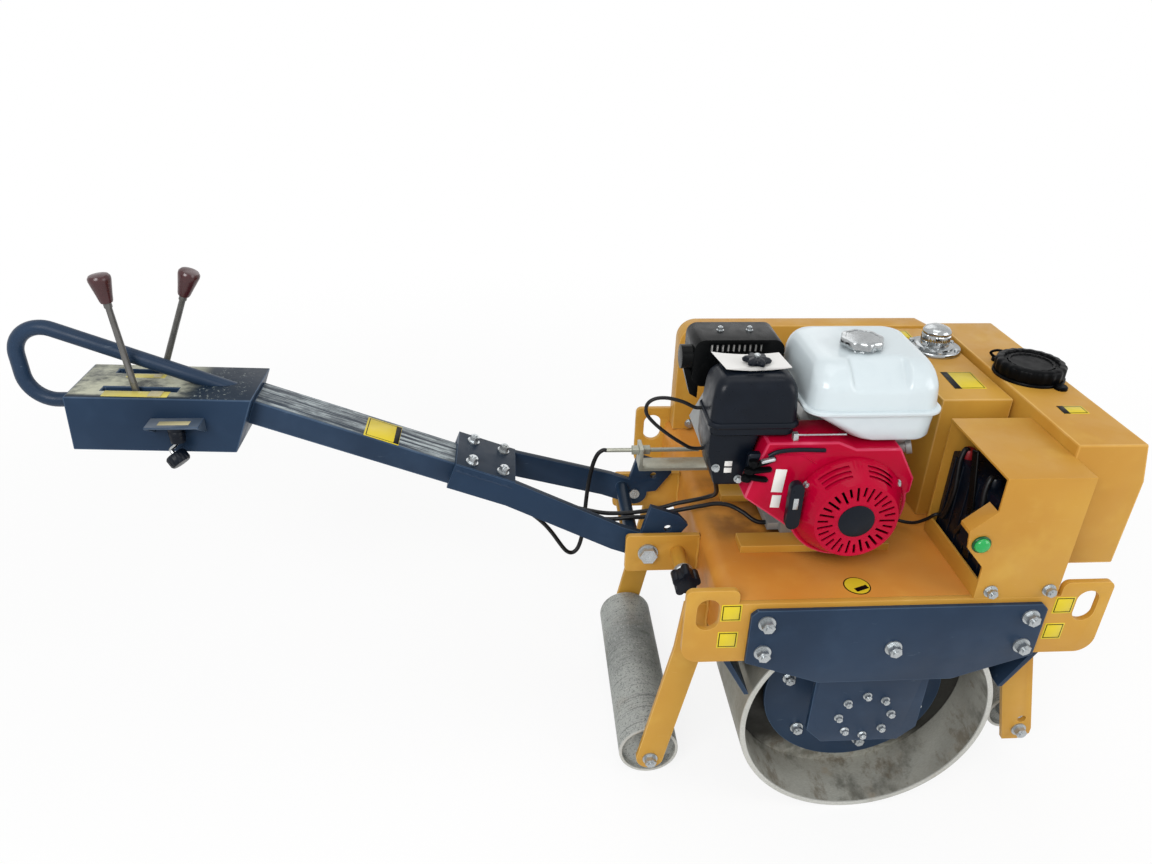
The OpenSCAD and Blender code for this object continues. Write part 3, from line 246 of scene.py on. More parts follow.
def scuffs_and_top_shade(tree, colour):
    """Silver scuffs along the middle of the bar's top, where it is stepped on and dragged, laid over painted shade
    that darkens the top.
    """
    along = add(tree, "ShaderNodeMapping", Vector=here(tree), Rotation=(0, -TILT, 0))
    share = times(tree, upward(tree), within(tree, 1, -30, 32, 8))
    # width and stretch of the scuffs, noise where they begin and are full, least share
    for width_mm, stretch, low, high, least in (
            (9, 0.04, 0.42, 0.55, 0), (2.5, 0.1, 0.38, 0.56, 0.3), (60, 0.5, 0.36, 0.56, 0.25)):
        streaks = noise(tree, width_mm, (stretch, 1, 1), 10, 0.7, along)
        share = times(tree, share, step(tree, streaks, low, high, least))
    return blend_colour(tree, share, painted_shade_on_top(tree, colour), "#b6c0c2")


def drum_mud_and_shade(tree, colour):
    """Smears of dried mud inside the drum's ends, and painted shade that darkens the gap behind its discs."""
    colour = mottle(tree, colour, "#56554c", 95, 0.48, 0.62, 0.7, stretch=(1, 0.7, 1), detail=9, rough=0.65)
    colour = mottle(tree, colour, "#655743", 60, 0.52, 0.64, 0.6, stretch=(1, 0.5, 1), detail=8, rough=0.7)
    web_y, gap_low, over_all = 201, 96, 900
    # painted shade: near black in the deep gap behind the discs
    gap = times(tree, within(tree, 1, -web_y, web_y, 3), within(tree, 2, gap_low, over_all, 60), 0.94)
    return blend_colour(tree, gap, colour, "#161512")


def painted_corner_shade(tree, colour):
    """Painted shade: darkening in the deck's corners and crevices from ambient occlusion, and a noisy dark patch under
    the engine.
    """
    near = add(tree, "ShaderNodeAmbientOcclusion", {"samples": 8}, "AO", Distance=50 * MM)
    shade_under_engine = times(tree, within(tree, 0, -235, -180, 60), within(tree, 1, -110, 30, 60),
                 step(tree, noise(tree, 60, detail=6), 0.35, 0.65, 0, 0.6))
    colour = blend_colour(tree, shade_under_engine, colour, "#4b2e17")
    return blend_colour(tree, step(tree, near, 0.12, 0.55, 0.85, 0), colour, "#3f2512")


def bare_metal(name, base, stain, rust, stretch, metal, rough, grain_mm=6.0, stain_share=0.7, extra=None):
    """Bare metal: drawn or rolled streaks, dull stains and a little rust."""
    mat, tree, bsdf = new_material(name, Metallic=metal, Specular_IOR_Level=0.3)
    colour = mottle(tree, base, stain, 120, 0.35, 0.68, stain_share, detail=5)
    colour = mottle(tree, colour, stain, grain_mm, 0.3, 0.7, 0.45, stretch=stretch, detail=4)
    colour = mottle(tree, colour, rust, 60, 0.58, 0.74, 0.5, detail=8, rough=0.7)
    if extra:
        colour = extra(tree, colour)
    coat(tree, bsdf, colour, 30, rough - 0.08, rough + 0.14, 5)
    bump(tree, bsdf, noise(tree, grain_mm / 2, stretch, 4), 0.25, 0.2)
    return mat


def moulded(name, base, pale, rough, grain_mm=1.2, shine=0.25, metal=0.0):
    """Moulded plastic or cast skin: fine grain and a faint bloom of wear."""
    mat, tree, bsdf = new_material(name, Specular_IOR_Level=shine, Metallic=metal)
    colour = mottle(tree, base, pale, 40, 0.45, 0.8, 0.5, detail=6)
    coat(tree, bsdf, colour, 18, rough - 0.05, rough + 0.08)
    bump(tree, bsdf, noise(tree, grain_mm, detail=2), 0.15, 0.1)
    return mat


def speckled_steel(name, base, dark, pale, rust):
    """Worn rolling steel: dark pits, pale grit, scratches round the tube and faint brown stains."""
    mat, tree, bsdf = new_material(name, Metallic=0.25, Specular_IOR_Level=0.3)
    colour = mottle(tree, dark, base, 150, 0.25, 0.6, least=0.3, detail=5)
    colour = mottle(tree, colour, rust, 90, 0.56, 0.74, 0.4, stretch=(0.3, 1, 1), detail=6)
    colour = mottle(tree, colour, dark, 9, 0.54, 0.7, 0.55, stretch=(0.12, 2.2, 0.12), detail=5)
    colour = mottle(tree, colour, pale, 6, 0.54, 0.64, 0.5, detail=6, rough=0.8)
    colour = mottle(tree, colour, dark, 4, 0.52, 0.6, 0.85, detail=6, rough=0.85)
    coat(tree, bsdf, colour, 30, 0.5, 0.75, 5)
    bump(tree, bsdf, noise(tree, 3, detail=5), 0.4, 0.3)
    return mat


# columns of worn_paint: base, deep and pale tone, dust and its share, scuff and its share, roughness, shine
BLUE = ("#25384f", "#1d2e43", "#2d4057", "#46545f", 0.15, "#6c7b88", 0.3, 0.36, 0.18)
CLEAN_BLUE = (*BLUE[:4], 0.0, *BLUE[5:8], 0.12)
PLATE = ("#b4b4ab", "#8b8980", "#98876f", (1, 4, 1), 0.3, 0.45)
EVEN = (1, 1, 1)
MATERIALS = {
    # ochre machine paint, a little chalky, with builder's dust on the flats
    "yellow_paint": worn_paint("ochre_paint", "#c7973b", "#bb8732", "#cea347", "#c59a56", 0.3, "#dab477", 0.2, 0.45),
    # dark slate-blue paint of handle and carriers
    "blue_paint": worn_paint("slate_blue_paint", *BLUE),
    # bare rolled plate of the drum, brushed round by the ground and stained by water
    "rolled_steel": bare_metal("rolled_steel_plate", *PLATE),
    # zinc plated bolts, pins and rods, bright and a little patchy
    "zinc_steel": bare_metal("zinc_plate", "#c0c4c6", "#8f9496", "#aaa697", EVEN, 0.8, 0.3, 3.0, 0.4),
    # sand-cast engine block and fins, grey and grainy
    "cast_aluminium": moulded("cast_aluminium", "#9b9d9c", "#7d8080", 0.5, 1.6, 0.3, 0.5),
    # deep, glossy engine red
    "red_paint": worn_paint("engine_red_enamel", "#c00534", "#a7042a", "#cd0e45", "#b42c50", 0.04,
                            "#d04a69", 0.05, 0.14, 0.1),
    # stove enamel of the fuel tank, cool white with soft highlights
    "white_paint": moulded("white_tank_enamel", "#cdd8dc", "#c5d1d6", 0.16, 5.0, 0.5),
    # grained black covers, a little navy
    "black_plastic": moulded("grained_black_plastic", "#080f19", "#111925", 0.32, 1.2, 0.18),
    # polished lever knobs, dark red-brown
    "maroon_plastic": moulded("maroon_bakelite", "#3d1a1d", "#50282b", 0.22, 4.0, 0.5),
    # mirror-bright caps with dull spots
    "chrome_plate": bare_metal("chrome_plate", "#bfc2c3", "#7d8183", "#a3a29c", EVEN, 1.0, 0.12, 3.0, 0.7),
    # heat-proof black of the muffler
    "black_steel": moulded("stove_black_steel", "#08090a", "#141617", 0.3, 1.5, 0.08),
    # rough dark grey of the pump
    "cast_iron": moulded("grey_cast_iron", "#66696a", "#505455", 0.55, 2.0, 0.25, 0.4),
    # dead matt black rubber
    "buffer_rubber": moulded("buffer_rubber", "#18181a", "#232325", 0.7, 1.0, 0.15),
    # soft black sheath of cables
    "cable_sheath": moulded("black_cable_sheath", "#0f1012", "#1e1f22", 0.4, 1.5, 0.25),
}
YELLOW, SLATE, ZINC, RED, BLACK, CHROME, STOVE_BLACK, ALUMINIUM, SHEATH = (MATERIALS[slot] for slot in (
    "yellow_paint", "blue_paint", "zinc_steel", "red_paint", "black_plastic", "chrome_plate", "black_steel",
    "cast_aluminium", "cable_sheath"))
# paint of the deck, more orange than the other yellow parts, with painted shade in its corners and under the engine
DECK_PAINT = worn_paint("ochre_deck_paint_shaded", "#d4933d", "#c68032", "#d79c46", "#ca9654", 0.3,
                        "#d8b180", 0.25, 0.46, 0.14, painted_corner_shade)
# blue paint of the control box with cream dust, of the fork, and of the scuffed bar, all with painted shade darkening
# their tops
BOX_PAINT = worn_paint("slate_blue_paint_dusty_shaded_top", *CLEAN_BLUE, dust_and_top_shade)
FORK_PAINT = worn_paint("slate_blue_paint_shaded_top", *CLEAN_BLUE, painted_shade_on_top)
BAR_PAINT = worn_paint("slate_blue_paint_rubbed_shaded_top", *BLUE, scuffs_and_top_shade)
# the throttle's shelf, dulled to grey
SHELF_PAINT = worn_paint("slate_blue_paint_dulled", "#4b5868", "#3b4858", "#677384", "#8d939b", 0.6,
                         "#a0a7ad", 0.4, 0.5, 0.2)
# jet-black levers and water cap
CAP_BLACK = moulded("glossy_black_plastic", "#060709", "#0e1012", 0.34, 1.5, 0.06)
# the drum's inside with mud and painted shade behind its discs, and its duller tread
DRUM_STEEL = bare_metal("rolled_steel_muddy_shaded", *PLATE, extra=drum_mud_and_shade)
TREAD_STEEL = bare_metal("dulled_tread_steel", "#9b9a90", "#77756c", "#857662", (1, 4, 1), 0.3, 0.5)
# guide rollers, grey with black pits
ROLLER_STEEL = speckled_steel("pitted_roller_steel", "#adb0ac", "#585c5b", "#cdcec9", "#958b7b")
# yellow-passivated zinc of the throttle bracket
BRACKET_ZINC = bare_metal("passivated_zinc", "#a3a498", "#8a8b7f", "#948d77", EVEN, 0.55, 0.4, 3.0, 0.3)
# lever rods, drawn steel gone brown-grey in the hand
ROD_STEEL = bare_metal("drawn_rod_steel", "#7d7c7a", "#5a5957", "#6d6459", (1, 1, 0.1), 0.6, 0.35, 4.0)
# edges that catch the eye: bare rims, painted highlights on the red's corners, paint rubbed thin
EDGE_WEAR_AND_HIGHLIGHT = {
    "rolled_steel": bare_metal("rubbed_steel_rim", "#c9c9c3", "#a9a9a2", "#a59b89", EVEN, 0.4, 0.4, 4.0, 0.5),
    # painted highlight: a lighter pink on the red's bevelled edges, standing in for gloss
    "red_paint": worn_paint("engine_red_enamel_painted_highlight", "#d23c5f", "#c02c4e", "#e06883", "#d4647e", 0.1,
                            "#f0a3b4", 0.2, 0.14, 0.3),
    "yellow_paint": worn_paint("ochre_paint_edge", "#d6ab5c", "#c9963f", "#e0bf80", "#dcb877", 0.3,
                               "#e8cfa0", 0.3, 0.45),
    "blue_paint": worn_paint("slate_blue_paint_edge", "#3c5068", "#2c3f56", "#586b80", "#5d6f80", 0.3,
                             "#8593a0", 0.4, 0.36, 0.18),
}
# foil of the blank labels: bright field, black line, faded strips
LABEL = moulded("blank_yellow_foil", "#d9c22c", "#e3cd4c", 0.35, 3.0)
LABEL_EDGE = moulded("black_foil_edge", "#070709", "#121215", 0.4, 3.0, 0.1)
STRIP = moulded("faded_yellow_foil", "#cbbd5e", "#d6ce92", 0.4, 3.0)
CREAM = moulded("faded_cream_foil", "#b7ae86", "#c9c3a6", 0.4, 3.0)
PAPER = moulded("white_paper", "#e6e5e2", "#eeedea", 0.7, 0.8)
# green start lamp and its dark rim
LAMP = moulded("green_lamp_lens", "#16a04c", "#3fd07e", 0.12, 6.0, 0.5)
LAMP_RIM = moulded("green_lamp_rim", "#0c4a28", "#16623a", 0.3, 3.0)
# rubber boot of the battery's positive pole
RED_BOOT = moulded("red_terminal_boot", "#7d171c", "#953235", 0.4)


# Building pieces
class Shape:
    """Collects simple solids, in millimetres about the drum, into one piece with several materials."""

    def __init__(self, name, body, slot=None):
        self.name, self.body, self.slot = name, body, slot
        self.bm, self.mats = bmesh.new(), []

    def rings(self, rings, mat):
        """Skin over rings of points, each ring counter-clockwise seen from the end of the skin."""
        if mat not in self.mats:
            self.mats.append(mat)
        made = [[self.bm.verts.new(p) for p in ring] for ring in rings]
        n, faces = len(made[0]), []
        for a, b in zip(made, made[1:]):
            for k in range(n):
                faces.append(self.bm.faces.new((a[k], a[(k + 1) % n], b[(k + 1) % n], b[k])))
        faces += [self.bm.faces.new(list(reversed(made[0]))), self.bm.faces.new(made[-1])]
        for f in faces:
            f.material_index = self.mats.index(mat)

    def turned(self, profile, base, axis, mat, sides=32, lobes=0, depth=0.0):
        """Revolves (radius, height) pairs about an axis from base; lobes wave the radius."""
        axis = axis.normalized()
        side = axis.orthogonal().normalized()
        other = axis.cross(side)
        rings = []
        for r, h in profile:
            ring = []
            for k in range(sides):
                a = 2 * math.pi * k / sides
                wave = 1 - depth * (0.5 - 0.5 * math.cos(lobes * a)) if lobes else 1
                ring.append(base + MM * (h * axis + max(r, 0.05) * wave * (math.cos(a) * side + math.sin(a) * other)))
            rings.append(ring)
        self.rings(rings, mat)

    def tube(self, points, d, mat, sides=12):
        """Round tube of diameter d along points in metres."""
        rings, side = [], None
        for i, p in enumerate(points):
            way = (points[min(i + 1, len(points) - 1)] - points[max(i - 1, 0)]).normalized()
            side = way.orthogonal() if side is None else side - side.dot(way) * way
            side = side.normalized()
            other = way.cross(side)
            rings.append([p + d / 2 * MM * (math.cos(a) * side + math.sin(a) * other)
                          for a in (2 * math.pi * k / sides for k in range(sides))])
        self.rings(rings, mat)

    def wire(self, places, d, mat, sides=12):
        """Tube on a smooth curve through places in millimetres about the drum."""
        self.tube(smooth_route([at(*p) for p in places]), d, mat, sides)

    def block(self, centre, u, v, size, mat, cut=0.8):
        """Box with cut edges: size along u, v and their cross product, in millimetres."""
        u, v = u.normalized(), v.normalized()
        w = u.cross(v)
        half = [s / 2 * MM for s in size]
        c = min(cut * MM, min(half) * 0.9)
        rings = []
        for z, inset in ((-half[2], c), (-half[2] + c, 0), (half[2] - c, 0), (half[2], c)):
            a, b = half[0] - inset, half[1] - inset
            corners = [(a, -b + c), (a, b - c), (a - c, b), (-a + c, b),
                       (-a, b - c), (-a, -b + c), (-a + c, -b), (a - c, -b)]
            rings.append([centre + x * u + y * v + z * w for x, y in corners])
        self.rings(rings, mat)

    def done(self, replaces=(), blend=None):
        bmesh.ops.recalc_face_normals(self.bm, faces=self.bm.faces)
        mesh = bpy.data.meshes.new(self.name)
        self.bm.to_mesh(mesh)
        self.bm.free()
        for mat in self.mats:
            mesh.materials.append(mat)
        place(self.name, mesh, self.body, replaces, blend)


WELD_M, FLAT, SHARP, BEVEL_ANGLE = 1e-5, *(math.radians(a) for a in (0.4, 38, 32))
BEVEL_STEPS, BEVEL_ROUND, RIM_MM = 2, 0.6, 4


def sharpen(mesh):
    """Smooth faces with hard edges where the surface turns sharply."""
    bm = bmesh.new()
    bm.from_mesh(mesh)
    for e in bm.edges:
        e.smooth = len(e.link_faces) == 2 and e.calc_face_angle(0) < SHARP
    for f in bm.faces:
        f.smooth = True
    bm.to_mesh(mesh)
    bm.free()


def place(name, mesh, body, replaces=(), blend=None):
    sharpen(mesh)
    piece = new_object(name, mesh)
    if blend:
        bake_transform(piece)
    else:
        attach(piece, body)
    if replaces:
        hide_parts(*replaces)


def baked(holder, name):
    """Mesh that an object's modifiers make; the object itself goes."""
    bpy.context.view_layer.update()
    mesh = bpy.data.meshes.new_from_object(holder.evaluated_get(bpy.context.evaluated_depsgraph_get()))
    bpy.data.objects.remove(holder)
    mesh.name = name
    return mesh


def soft_copy(node, width, mat, split):
    """Copy of a CAD node with rounded edges, which stands for it; split tests places and gives their material."""
    bm = bmesh.new()
    bm.from_mesh(NODES[node].data)
    bmesh.ops.remove_doubles(bm, verts=bm.verts, dist=WELD_M)
    bmesh.ops.dissolve_limit(bm, angle_limit=FLAT, verts=bm.verts, edges=bm.edges)
    mesh = bpy.data.meshes.new(node + "_form")
    bm.to_mesh(mesh)
    bm.free()
    mesh.materials.clear()
    mesh.materials.append(mat or MATERIALS[SLOT[node]])
    edge_skin = EDGE_WEAR_AND_HIGHLIGHT.get(SLOT[node])
    if edge_skin:
        mesh.materials.append(edge_skin)
    for p in mesh.polygons:
        p.material_index = 0
    holder = new_object(node + "_form", mesh)
    mod = holder.modifiers.new("edges", "BEVEL")
    mod.width, mod.segments, mod.profile = width * MM, BEVEL_STEPS, BEVEL_ROUND
    mod.limit_method, mod.angle_limit = "ANGLE", BEVEL_ANGLE
    mod.use_clamp_overlap = True
    # bevel faces take the slot's edge material; on the red it is a painted highlight
    mod.material = 1 if edge_skin else 0
    grown = baked(holder, node + "_soft")
    if SLOT[node] == "rolled_steel":
        end = max(v.co.y for v in grown.vertices) - RIM_MM * MM
        for p in grown.polygons:
            p.material_index = 1 if abs(p.center.y) > end else 0
    if split:
        test, other = split
        grown.materials.append(other)
        for p in grown.polygons:
            if p.material_index == 0 and test(p.center):
                p.material_index = len(grown.materials) - 1
    place(node + "_soft", grown, BODY[node], (node,))


def ring_of(x0, x1, y0, y1, r, z, along=0, n=9):
    """Rounded rectangle of points at height z, in millimetres about the drum; along adds points on its sides."""
    r = max(0.5, min(r, (x1 - x0) / 2 - 0.01, (y1 - y0) / 2 - 0.01))
    arcs = []
    for cx, cy, a0 in ((x1 - r, y1 - r, 0), (x0 + r, y1 - r, 90), (x0 + r, y0 + r, 180), (x1 - r, y0 + r, 270)):
        turn = [math.radians(a0 + 90 * k / (n - 1)) for k in range(n)]
        arcs.append([at(cx + r * math.cos(a), cy + r * math.sin(a), z) for a in turn])
    points = []
    for arc, after in zip(arcs, arcs[1:] + arcs[:1]):
        points += arc + [arc[-1].lerp(after[0], k / (along + 1)) for k in range(1, along + 1)]
    return points


def on_circle(x, z, r, degrees):
    a = math.radians(degrees)
    return x + r * math.cos(a), z + r * math.sin(a)


def smooth_route(points, steps=5):
    """Points of a curve through the given ones."""
    out = []
    for i in range(len(points) - 1):
        p0, p1, p2, p3 = points[max(i - 1, 0)], points[i], points[i + 1], points[min(i + 2, len(points) - 1)]
        for k in range(steps):
            t = k / steps
            out.append(0.5 * (2 * p1 + (p2 - p0) * t + (2 * p0 - 5 * p1 + 4 * p2 - p3) * t ** 2
                              + (3 * p1 - p0 - 3 * p2 + p3) * t ** 3))
    return out + [points[-1]]


# CAD nodes: edges rounded as the real pieces have them
SKIN = {"control_box": BOX_PAINT, "handle_bar": BAR_PAINT, "handle_fork": FORK_PAINT, "throttle_shelf": SHELF_PAINT,
        "rear_roller": ROLLER_STEEL, "front_roller": ROLLER_STEEL, "deck": DECK_PAINT, "drum_shell": DRUM_STEEL,
        "throttle_bracket": BRACKET_ZINC}
EDGE_MM = {
    "frame_side_right": 1.2, "frame_side_left": 1.2, "drum_carrier_right": 1.2, "drum_carrier_left": 1.2,
    "rear_roller_arms": 1.2, "front_roller_arms": 1.2, "handle_yoke": 1.2, "engine_rails": 1.0,
    "belt_guard": 2.0, "hydraulic_tank": 2.5, "water_tank": 3.0, "battery_cover": 1.0,
    "water_tank_shelf": 1.0, "fan_shroud": 4.0, "recoil_starter": 0.7, "starter_grip": 3.0,
    "carburettor_cover": 5.0, "muffler": 2.5, "hydraulic_pump": 2.0, "engine_block": 1.2,
    "battery": 2.0, "handle_fork": 1.2, "handle_bar": 3.0, "control_box": 2.0, "throttle_shelf": 0.8,
    "drum_shell": 2.5, "drum_discs": 1.5, "rear_roller": 2.2, "front_roller": 2.0, "throttle_bracket": 0.8,
    "rear_scraper": 0.8, "front_scraper": 0.8, "stub_axles": 1.0, "lock_pin": 1.5,
}
TREAD_R, LOCK_TUBE_Y = 223 * MM, -176 * MM


def on_tread(c):
    return math.hypot(c.x - DRUM_X, c.z - (drum_low.z + drum_high.z) / 2) > TREAD_R


def on_lock_tube(c):
    return c.y > LOCK_TUBE_Y


# the drum's tread is dulled, and the lock pin's tube is painted with the yoke
SPLIT = {"drum_shell": (on_tread, TREAD_STEEL), "lock_pin": (on_lock_tube, YELLOW)}
for node, width in EDGE_MM.items():
    soft_copy(node, width, SKIN.get(node), SPLIT.get(node))
for node in ("deck", "roller_axles", "pivot_pins", "drum_buffers"):
    NODES[node].data.materials.clear()
    NODES[node].data.materials.append(SKIN.get(node) or MATERIALS[SLOT[node]])


# Grip loop: one bent tube from the box's end round to its top
def add_grip_loop():
    low_z, foot_z, r, d, slope = BOX_TOP_Z - 26, 730, 48, 25, 22
    mid_x, low_mid, top_mid = BOX_END_X - 40, low_z + r, low_z + r + 34
    points = [at(BOX_END_X + 4, 0, low_z), at(mid_x + 6, 0, low_z)]
    for mid_z, start, end, steps in ((low_mid, 270, 180, 14), (top_mid, 180, 90 - slope, 18)):
        for k in range(steps + 1):
            x, z = on_circle(mid_x, mid_z, r, start + (end - start) * k / steps)
            points.append(at(x, 0, z))
    slope = math.radians(slope)
    leave = points[-1]
    run = (leave.z / MM - foot_z) / math.sin(slope)
    points.append(leave + run * MM * Vector((math.cos(slope), 0, -math.sin(slope))))
    shape = Shape("grip_loop_bent", "handle", "blue_paint")
    shape.tube(points, d, SLATE, 24)
    shape.done(("grip_loop",))


add_grip_loop()


# Cables, each one smooth piece between chassis and handle
THROTTLE = [(-441, 45, 580), (-448, 45, 580), (-457, 45, 572), (-464, 44, 556), (-469, 42, 536), (-473, 39, 514),
            (-476, 36, 490), (-479, 30, 460), (-482, 26, 430), (-485, 20, 402), (-491, 15, 382), (-498, 12, 373),
            (-506, 10, 371), (-514, 8, 376), (-522, 6, 387), (-532, 3, 405), (-545, 0, 428), (-560, 0, 448),
            (-580, 0, 468), (-604, 0, 488), (-632, 0, 508), (-655, 0, 526), (-668, 0, 538)]
VALVE_NEAR = [(-174, -124, 527), (-184, -124, 527), (-196, -120, 530), (-212, -108, 538), (-232, -92, 542),
              (-252, -76, 536), (-274, -64, 524), (-296, -56, 514), (-316, -52, 507), (-330, -50, 503),
              (-345, -50, 498), (-362, -50, 494), (-380, -50, 492), (-403, -50, 492), (-425, -48, 488),
              (-450, -45, 486), (-480, -42, 490), (-520, -36, 498), (-560, -30, 508), (-600, -26, 519),
              (-645, -24, 536)]
VALVE_FAR = [(-280, -150, 648), (-280, -150, 640), (-278, -146, 628), (-272, -132, 610), (-264, -110, 585),
             (-260, -86, 562), (-264, -66, 545), (-276, -50, 530), (-296, -42, 520), (-316, -38, 513),
             (-330, -36, 507), (-345, -36, 502), (-362, -36, 498), (-380, -36, 495), (-403, -37, 493),
             (-425, -36, 492), (-450, -34, 492), (-480, -30, 496), (-520, -26, 505), (-560, -22, 514),
             (-600, -18, 523), (-648, -16, 538)]
LEADS = [[(-311, -150, 768), (-325, -150, 768), (-345, -150, 778), (-370, -150, 785), (-390, -150, 784),
          (-402, -149, 774), (-402, -148, 757), (-388, -146, 738), (-366, -144, 718), (-342, -142, 700),
          (-322, -140, 688), (-298, -140, 688)],
         [(-4, -90, 566), (6.5, -90, 566), (19.6, -92, 554), (34, -96, 538), (52.3, -104, 525), (74.6, -116, 519),
          (94.3, -130, 524), (108.7, -142, 540), (116.5, -150, 554), (127, -150, 554)]]
CABLE_D, LEAD_D, HINGED = 8, 6, ("chassis", "handle")


def cable(name, routes, d, body, replaces, blend=None):
    shape = Shape(name, body, "cable_sheath")
    for route in routes:
        shape.wire(route, d, SHEATH)
    shape.done(replaces, blend)


cable("throttle_cable_whole", [THROTTLE], CABLE_D, HINGED, ("throttle_cable", "throttle_cable_end"),
      (at(-485, 0, 430), at(-545, 0, 430)))
cable("valve_cables_whole", [VALVE_NEAR, VALVE_FAR], CABLE_D, HINGED, ("valve_cables", "valve_cables_end"),
      (at(-335, 0, 500), at(-398, 0, 500)))
cable("engine_leads_round", LEADS, LEAD_D, "chassis", ("engine_leads",))


# Fuel tank: pan with a slanted end, rolled seam, and a top with a scoop in its front edge
def add_fuel_tank():
    cx, cy, seam, hx, hy = -55, -112, 786, 110, 108
    # inset, height over the seam, left end drawn in, front drawn in
    levels = [(18, -50, 78, 0), (12, -49, 74, 0), (9, -44, 66, 0), (8, -24, 34, 0), (7, -10, 10, 0), (6, -3, 0, 0),
              (1.5, -3, 0, 0), (0, -1, 0, 0), (0, 2.5, 0, 0), (1.5, 4, 0, 0), (6, 4.5, 0, 0), (6.5, 12, 0, 0),
              (8, 32, 0, 0), (9, 40, 0, 0), (10, 45, 0, 1.5), (11.5, 51, 0, 4), (13.5, 57, 0, 7), (16, 62, 0, 10),
              (19, 66.5, 0, 13), (22.5, 70, 0, 15.5), (27, 72.3, 0, 17.5), (31, 73.4, 0, 18), (35, 74, 0, 17),
              (40, 74, 0, 16), (46, 74, 0, 15), (56, 74, 0, 13), (70, 74, 0, 9), (86, 74, 0, 4), (100, 74, 0, 0)]
    shape = Shape("fuel_tank_smooth", "chassis", "white_paint")
    rings = [ring_of(cx - hx + inset + left, cx + hx - inset, cy - hy + inset + front, cy + hy - inset,
                     32 - inset * 0.2, seam + dz, 44) for inset, dz, left, front in levels]
    scoop_x, scoop_half, scoop_depth, lowest, highest = -52, 48, 20, 30, 74
    front_y, front_fade, side_fade = -160, 36, 7

    def share(value):
        return max(0.0, min(1.0, value))

    for q in (q for ring in rings for q in ring):
        across = share((scoop_half - abs((q.x - DRUM_X) / MM - scoop_x)) / side_fade)
        front = share((front_y - q.y / MM) / front_fade)
        rise = share((q.z / MM - seam - lowest) / (highest - lowest))
        q.z -= scoop_depth * MM * across * front * rise
    shape.rings(rings, MATERIALS["white_paint"])
    shape.done(("fuel_tank",))


add_fuel_tank()


# Air cleaner: base, rim and a rounded cover, with its wing knob and a paper tag under it
def add_air_cleaner():
    x0, x1, y0, y1 = -315, -172, -216, -118
    levels = [(7, 748), (5, 750), (5, 761.5), (1.5, 762), (0, 764), (0, 768.5), (1.5, 770.5), (3.5, 771), (4, 790),
              (6, 815), (7.5, 823), (9.5, 829), (12.5, 834), (17, 838.5), (23, 841), (32, 842)]
    shape = Shape("air_cleaner_smooth", "chassis", "black_plastic")
    shape.rings([ring_of(x0 + i, x1 - i, y0 + i, y1 - i, 17 - i * 0.1, z) for i, z in levels], BLACK)
    mid = at((x0 + x1) / 2 + 5, (y0 + y1) / 2 + 6, 841)
    shape.turned([(12, 0), (11, 8), (0, 8.2)], mid, UP, BLACK, 24)
    shape.turned([(13, 0), (22, 2), (23, 6), (20, 9), (10, 11), (0, 11.2)], mid + 9 * MM * UP, UP, BLACK, 48, 6, 0.3)
    shape.turned([(5, 0), (5, 5), (3, 6.5), (0, 6.5)], mid + 18 * MM * UP, UP, ZINC, 12)
    shape.done(("air_cleaner",))
    tag = Shape("paper_tag", "chassis")
    left, right = (at(-301, -118, 846), at(-290, -182, 845)), (at(-192, -120, 845), at(-186, -176, 844))
    top, cols = [], 9
    for k in range(cols):
        t = k / (cols - 1)
        lift = 4 * MM * (2 * t - 1) ** 2 * UP
        top.append([a.lerp(b, t) + lift for a, b in zip(left, right)])
    ring = [a[0] for a in top] + [a[1] for a in reversed(top)]
    tag.rings([ring, [p + 0.5 * MM * UP for p in ring]], PAPER)
    tag.done()


add_air_cleaner()


# Lever rods of drawn steel and their knobs, turned from bakelite
def add_levers():
    knobs = Shape("lever_knobs_turned", "handle", "maroon_plastic")
    rods = Shape("lever_rods", "handle", "zinc_steel")
    foot_z, length = BOX_TOP_Z - 16, 174
    rod = [(6, 0), (5.6, 12), (5, length - 10), (6.4, length - 8), (6.4, length + 2), (0, length + 2)]
    knob = [(0, 0), (9, 0), (10.2, 3), (12.5, 15), (15.8, 30), (17.2, 37), (17, 41), (14.5, 44.5), (9, 46), (0, 46.4)]
    for dx, y, lean in ((103, -30, 4.5), (114, 40, -23)):
        a = math.radians(lean)
        way = Vector((-math.sin(a), 0, math.cos(a)))
        foot = at(BOX_END_X + dx, y, foot_z)
        rods.turned(rod, foot, way, ROD_STEEL, 20)
        knobs.turned(knob, foot + length * MM * way, way, MATERIALS["maroon_plastic"], 32)
    knobs.done(("lever_knobs",))
    rods.done(("levers",))


add_levers()


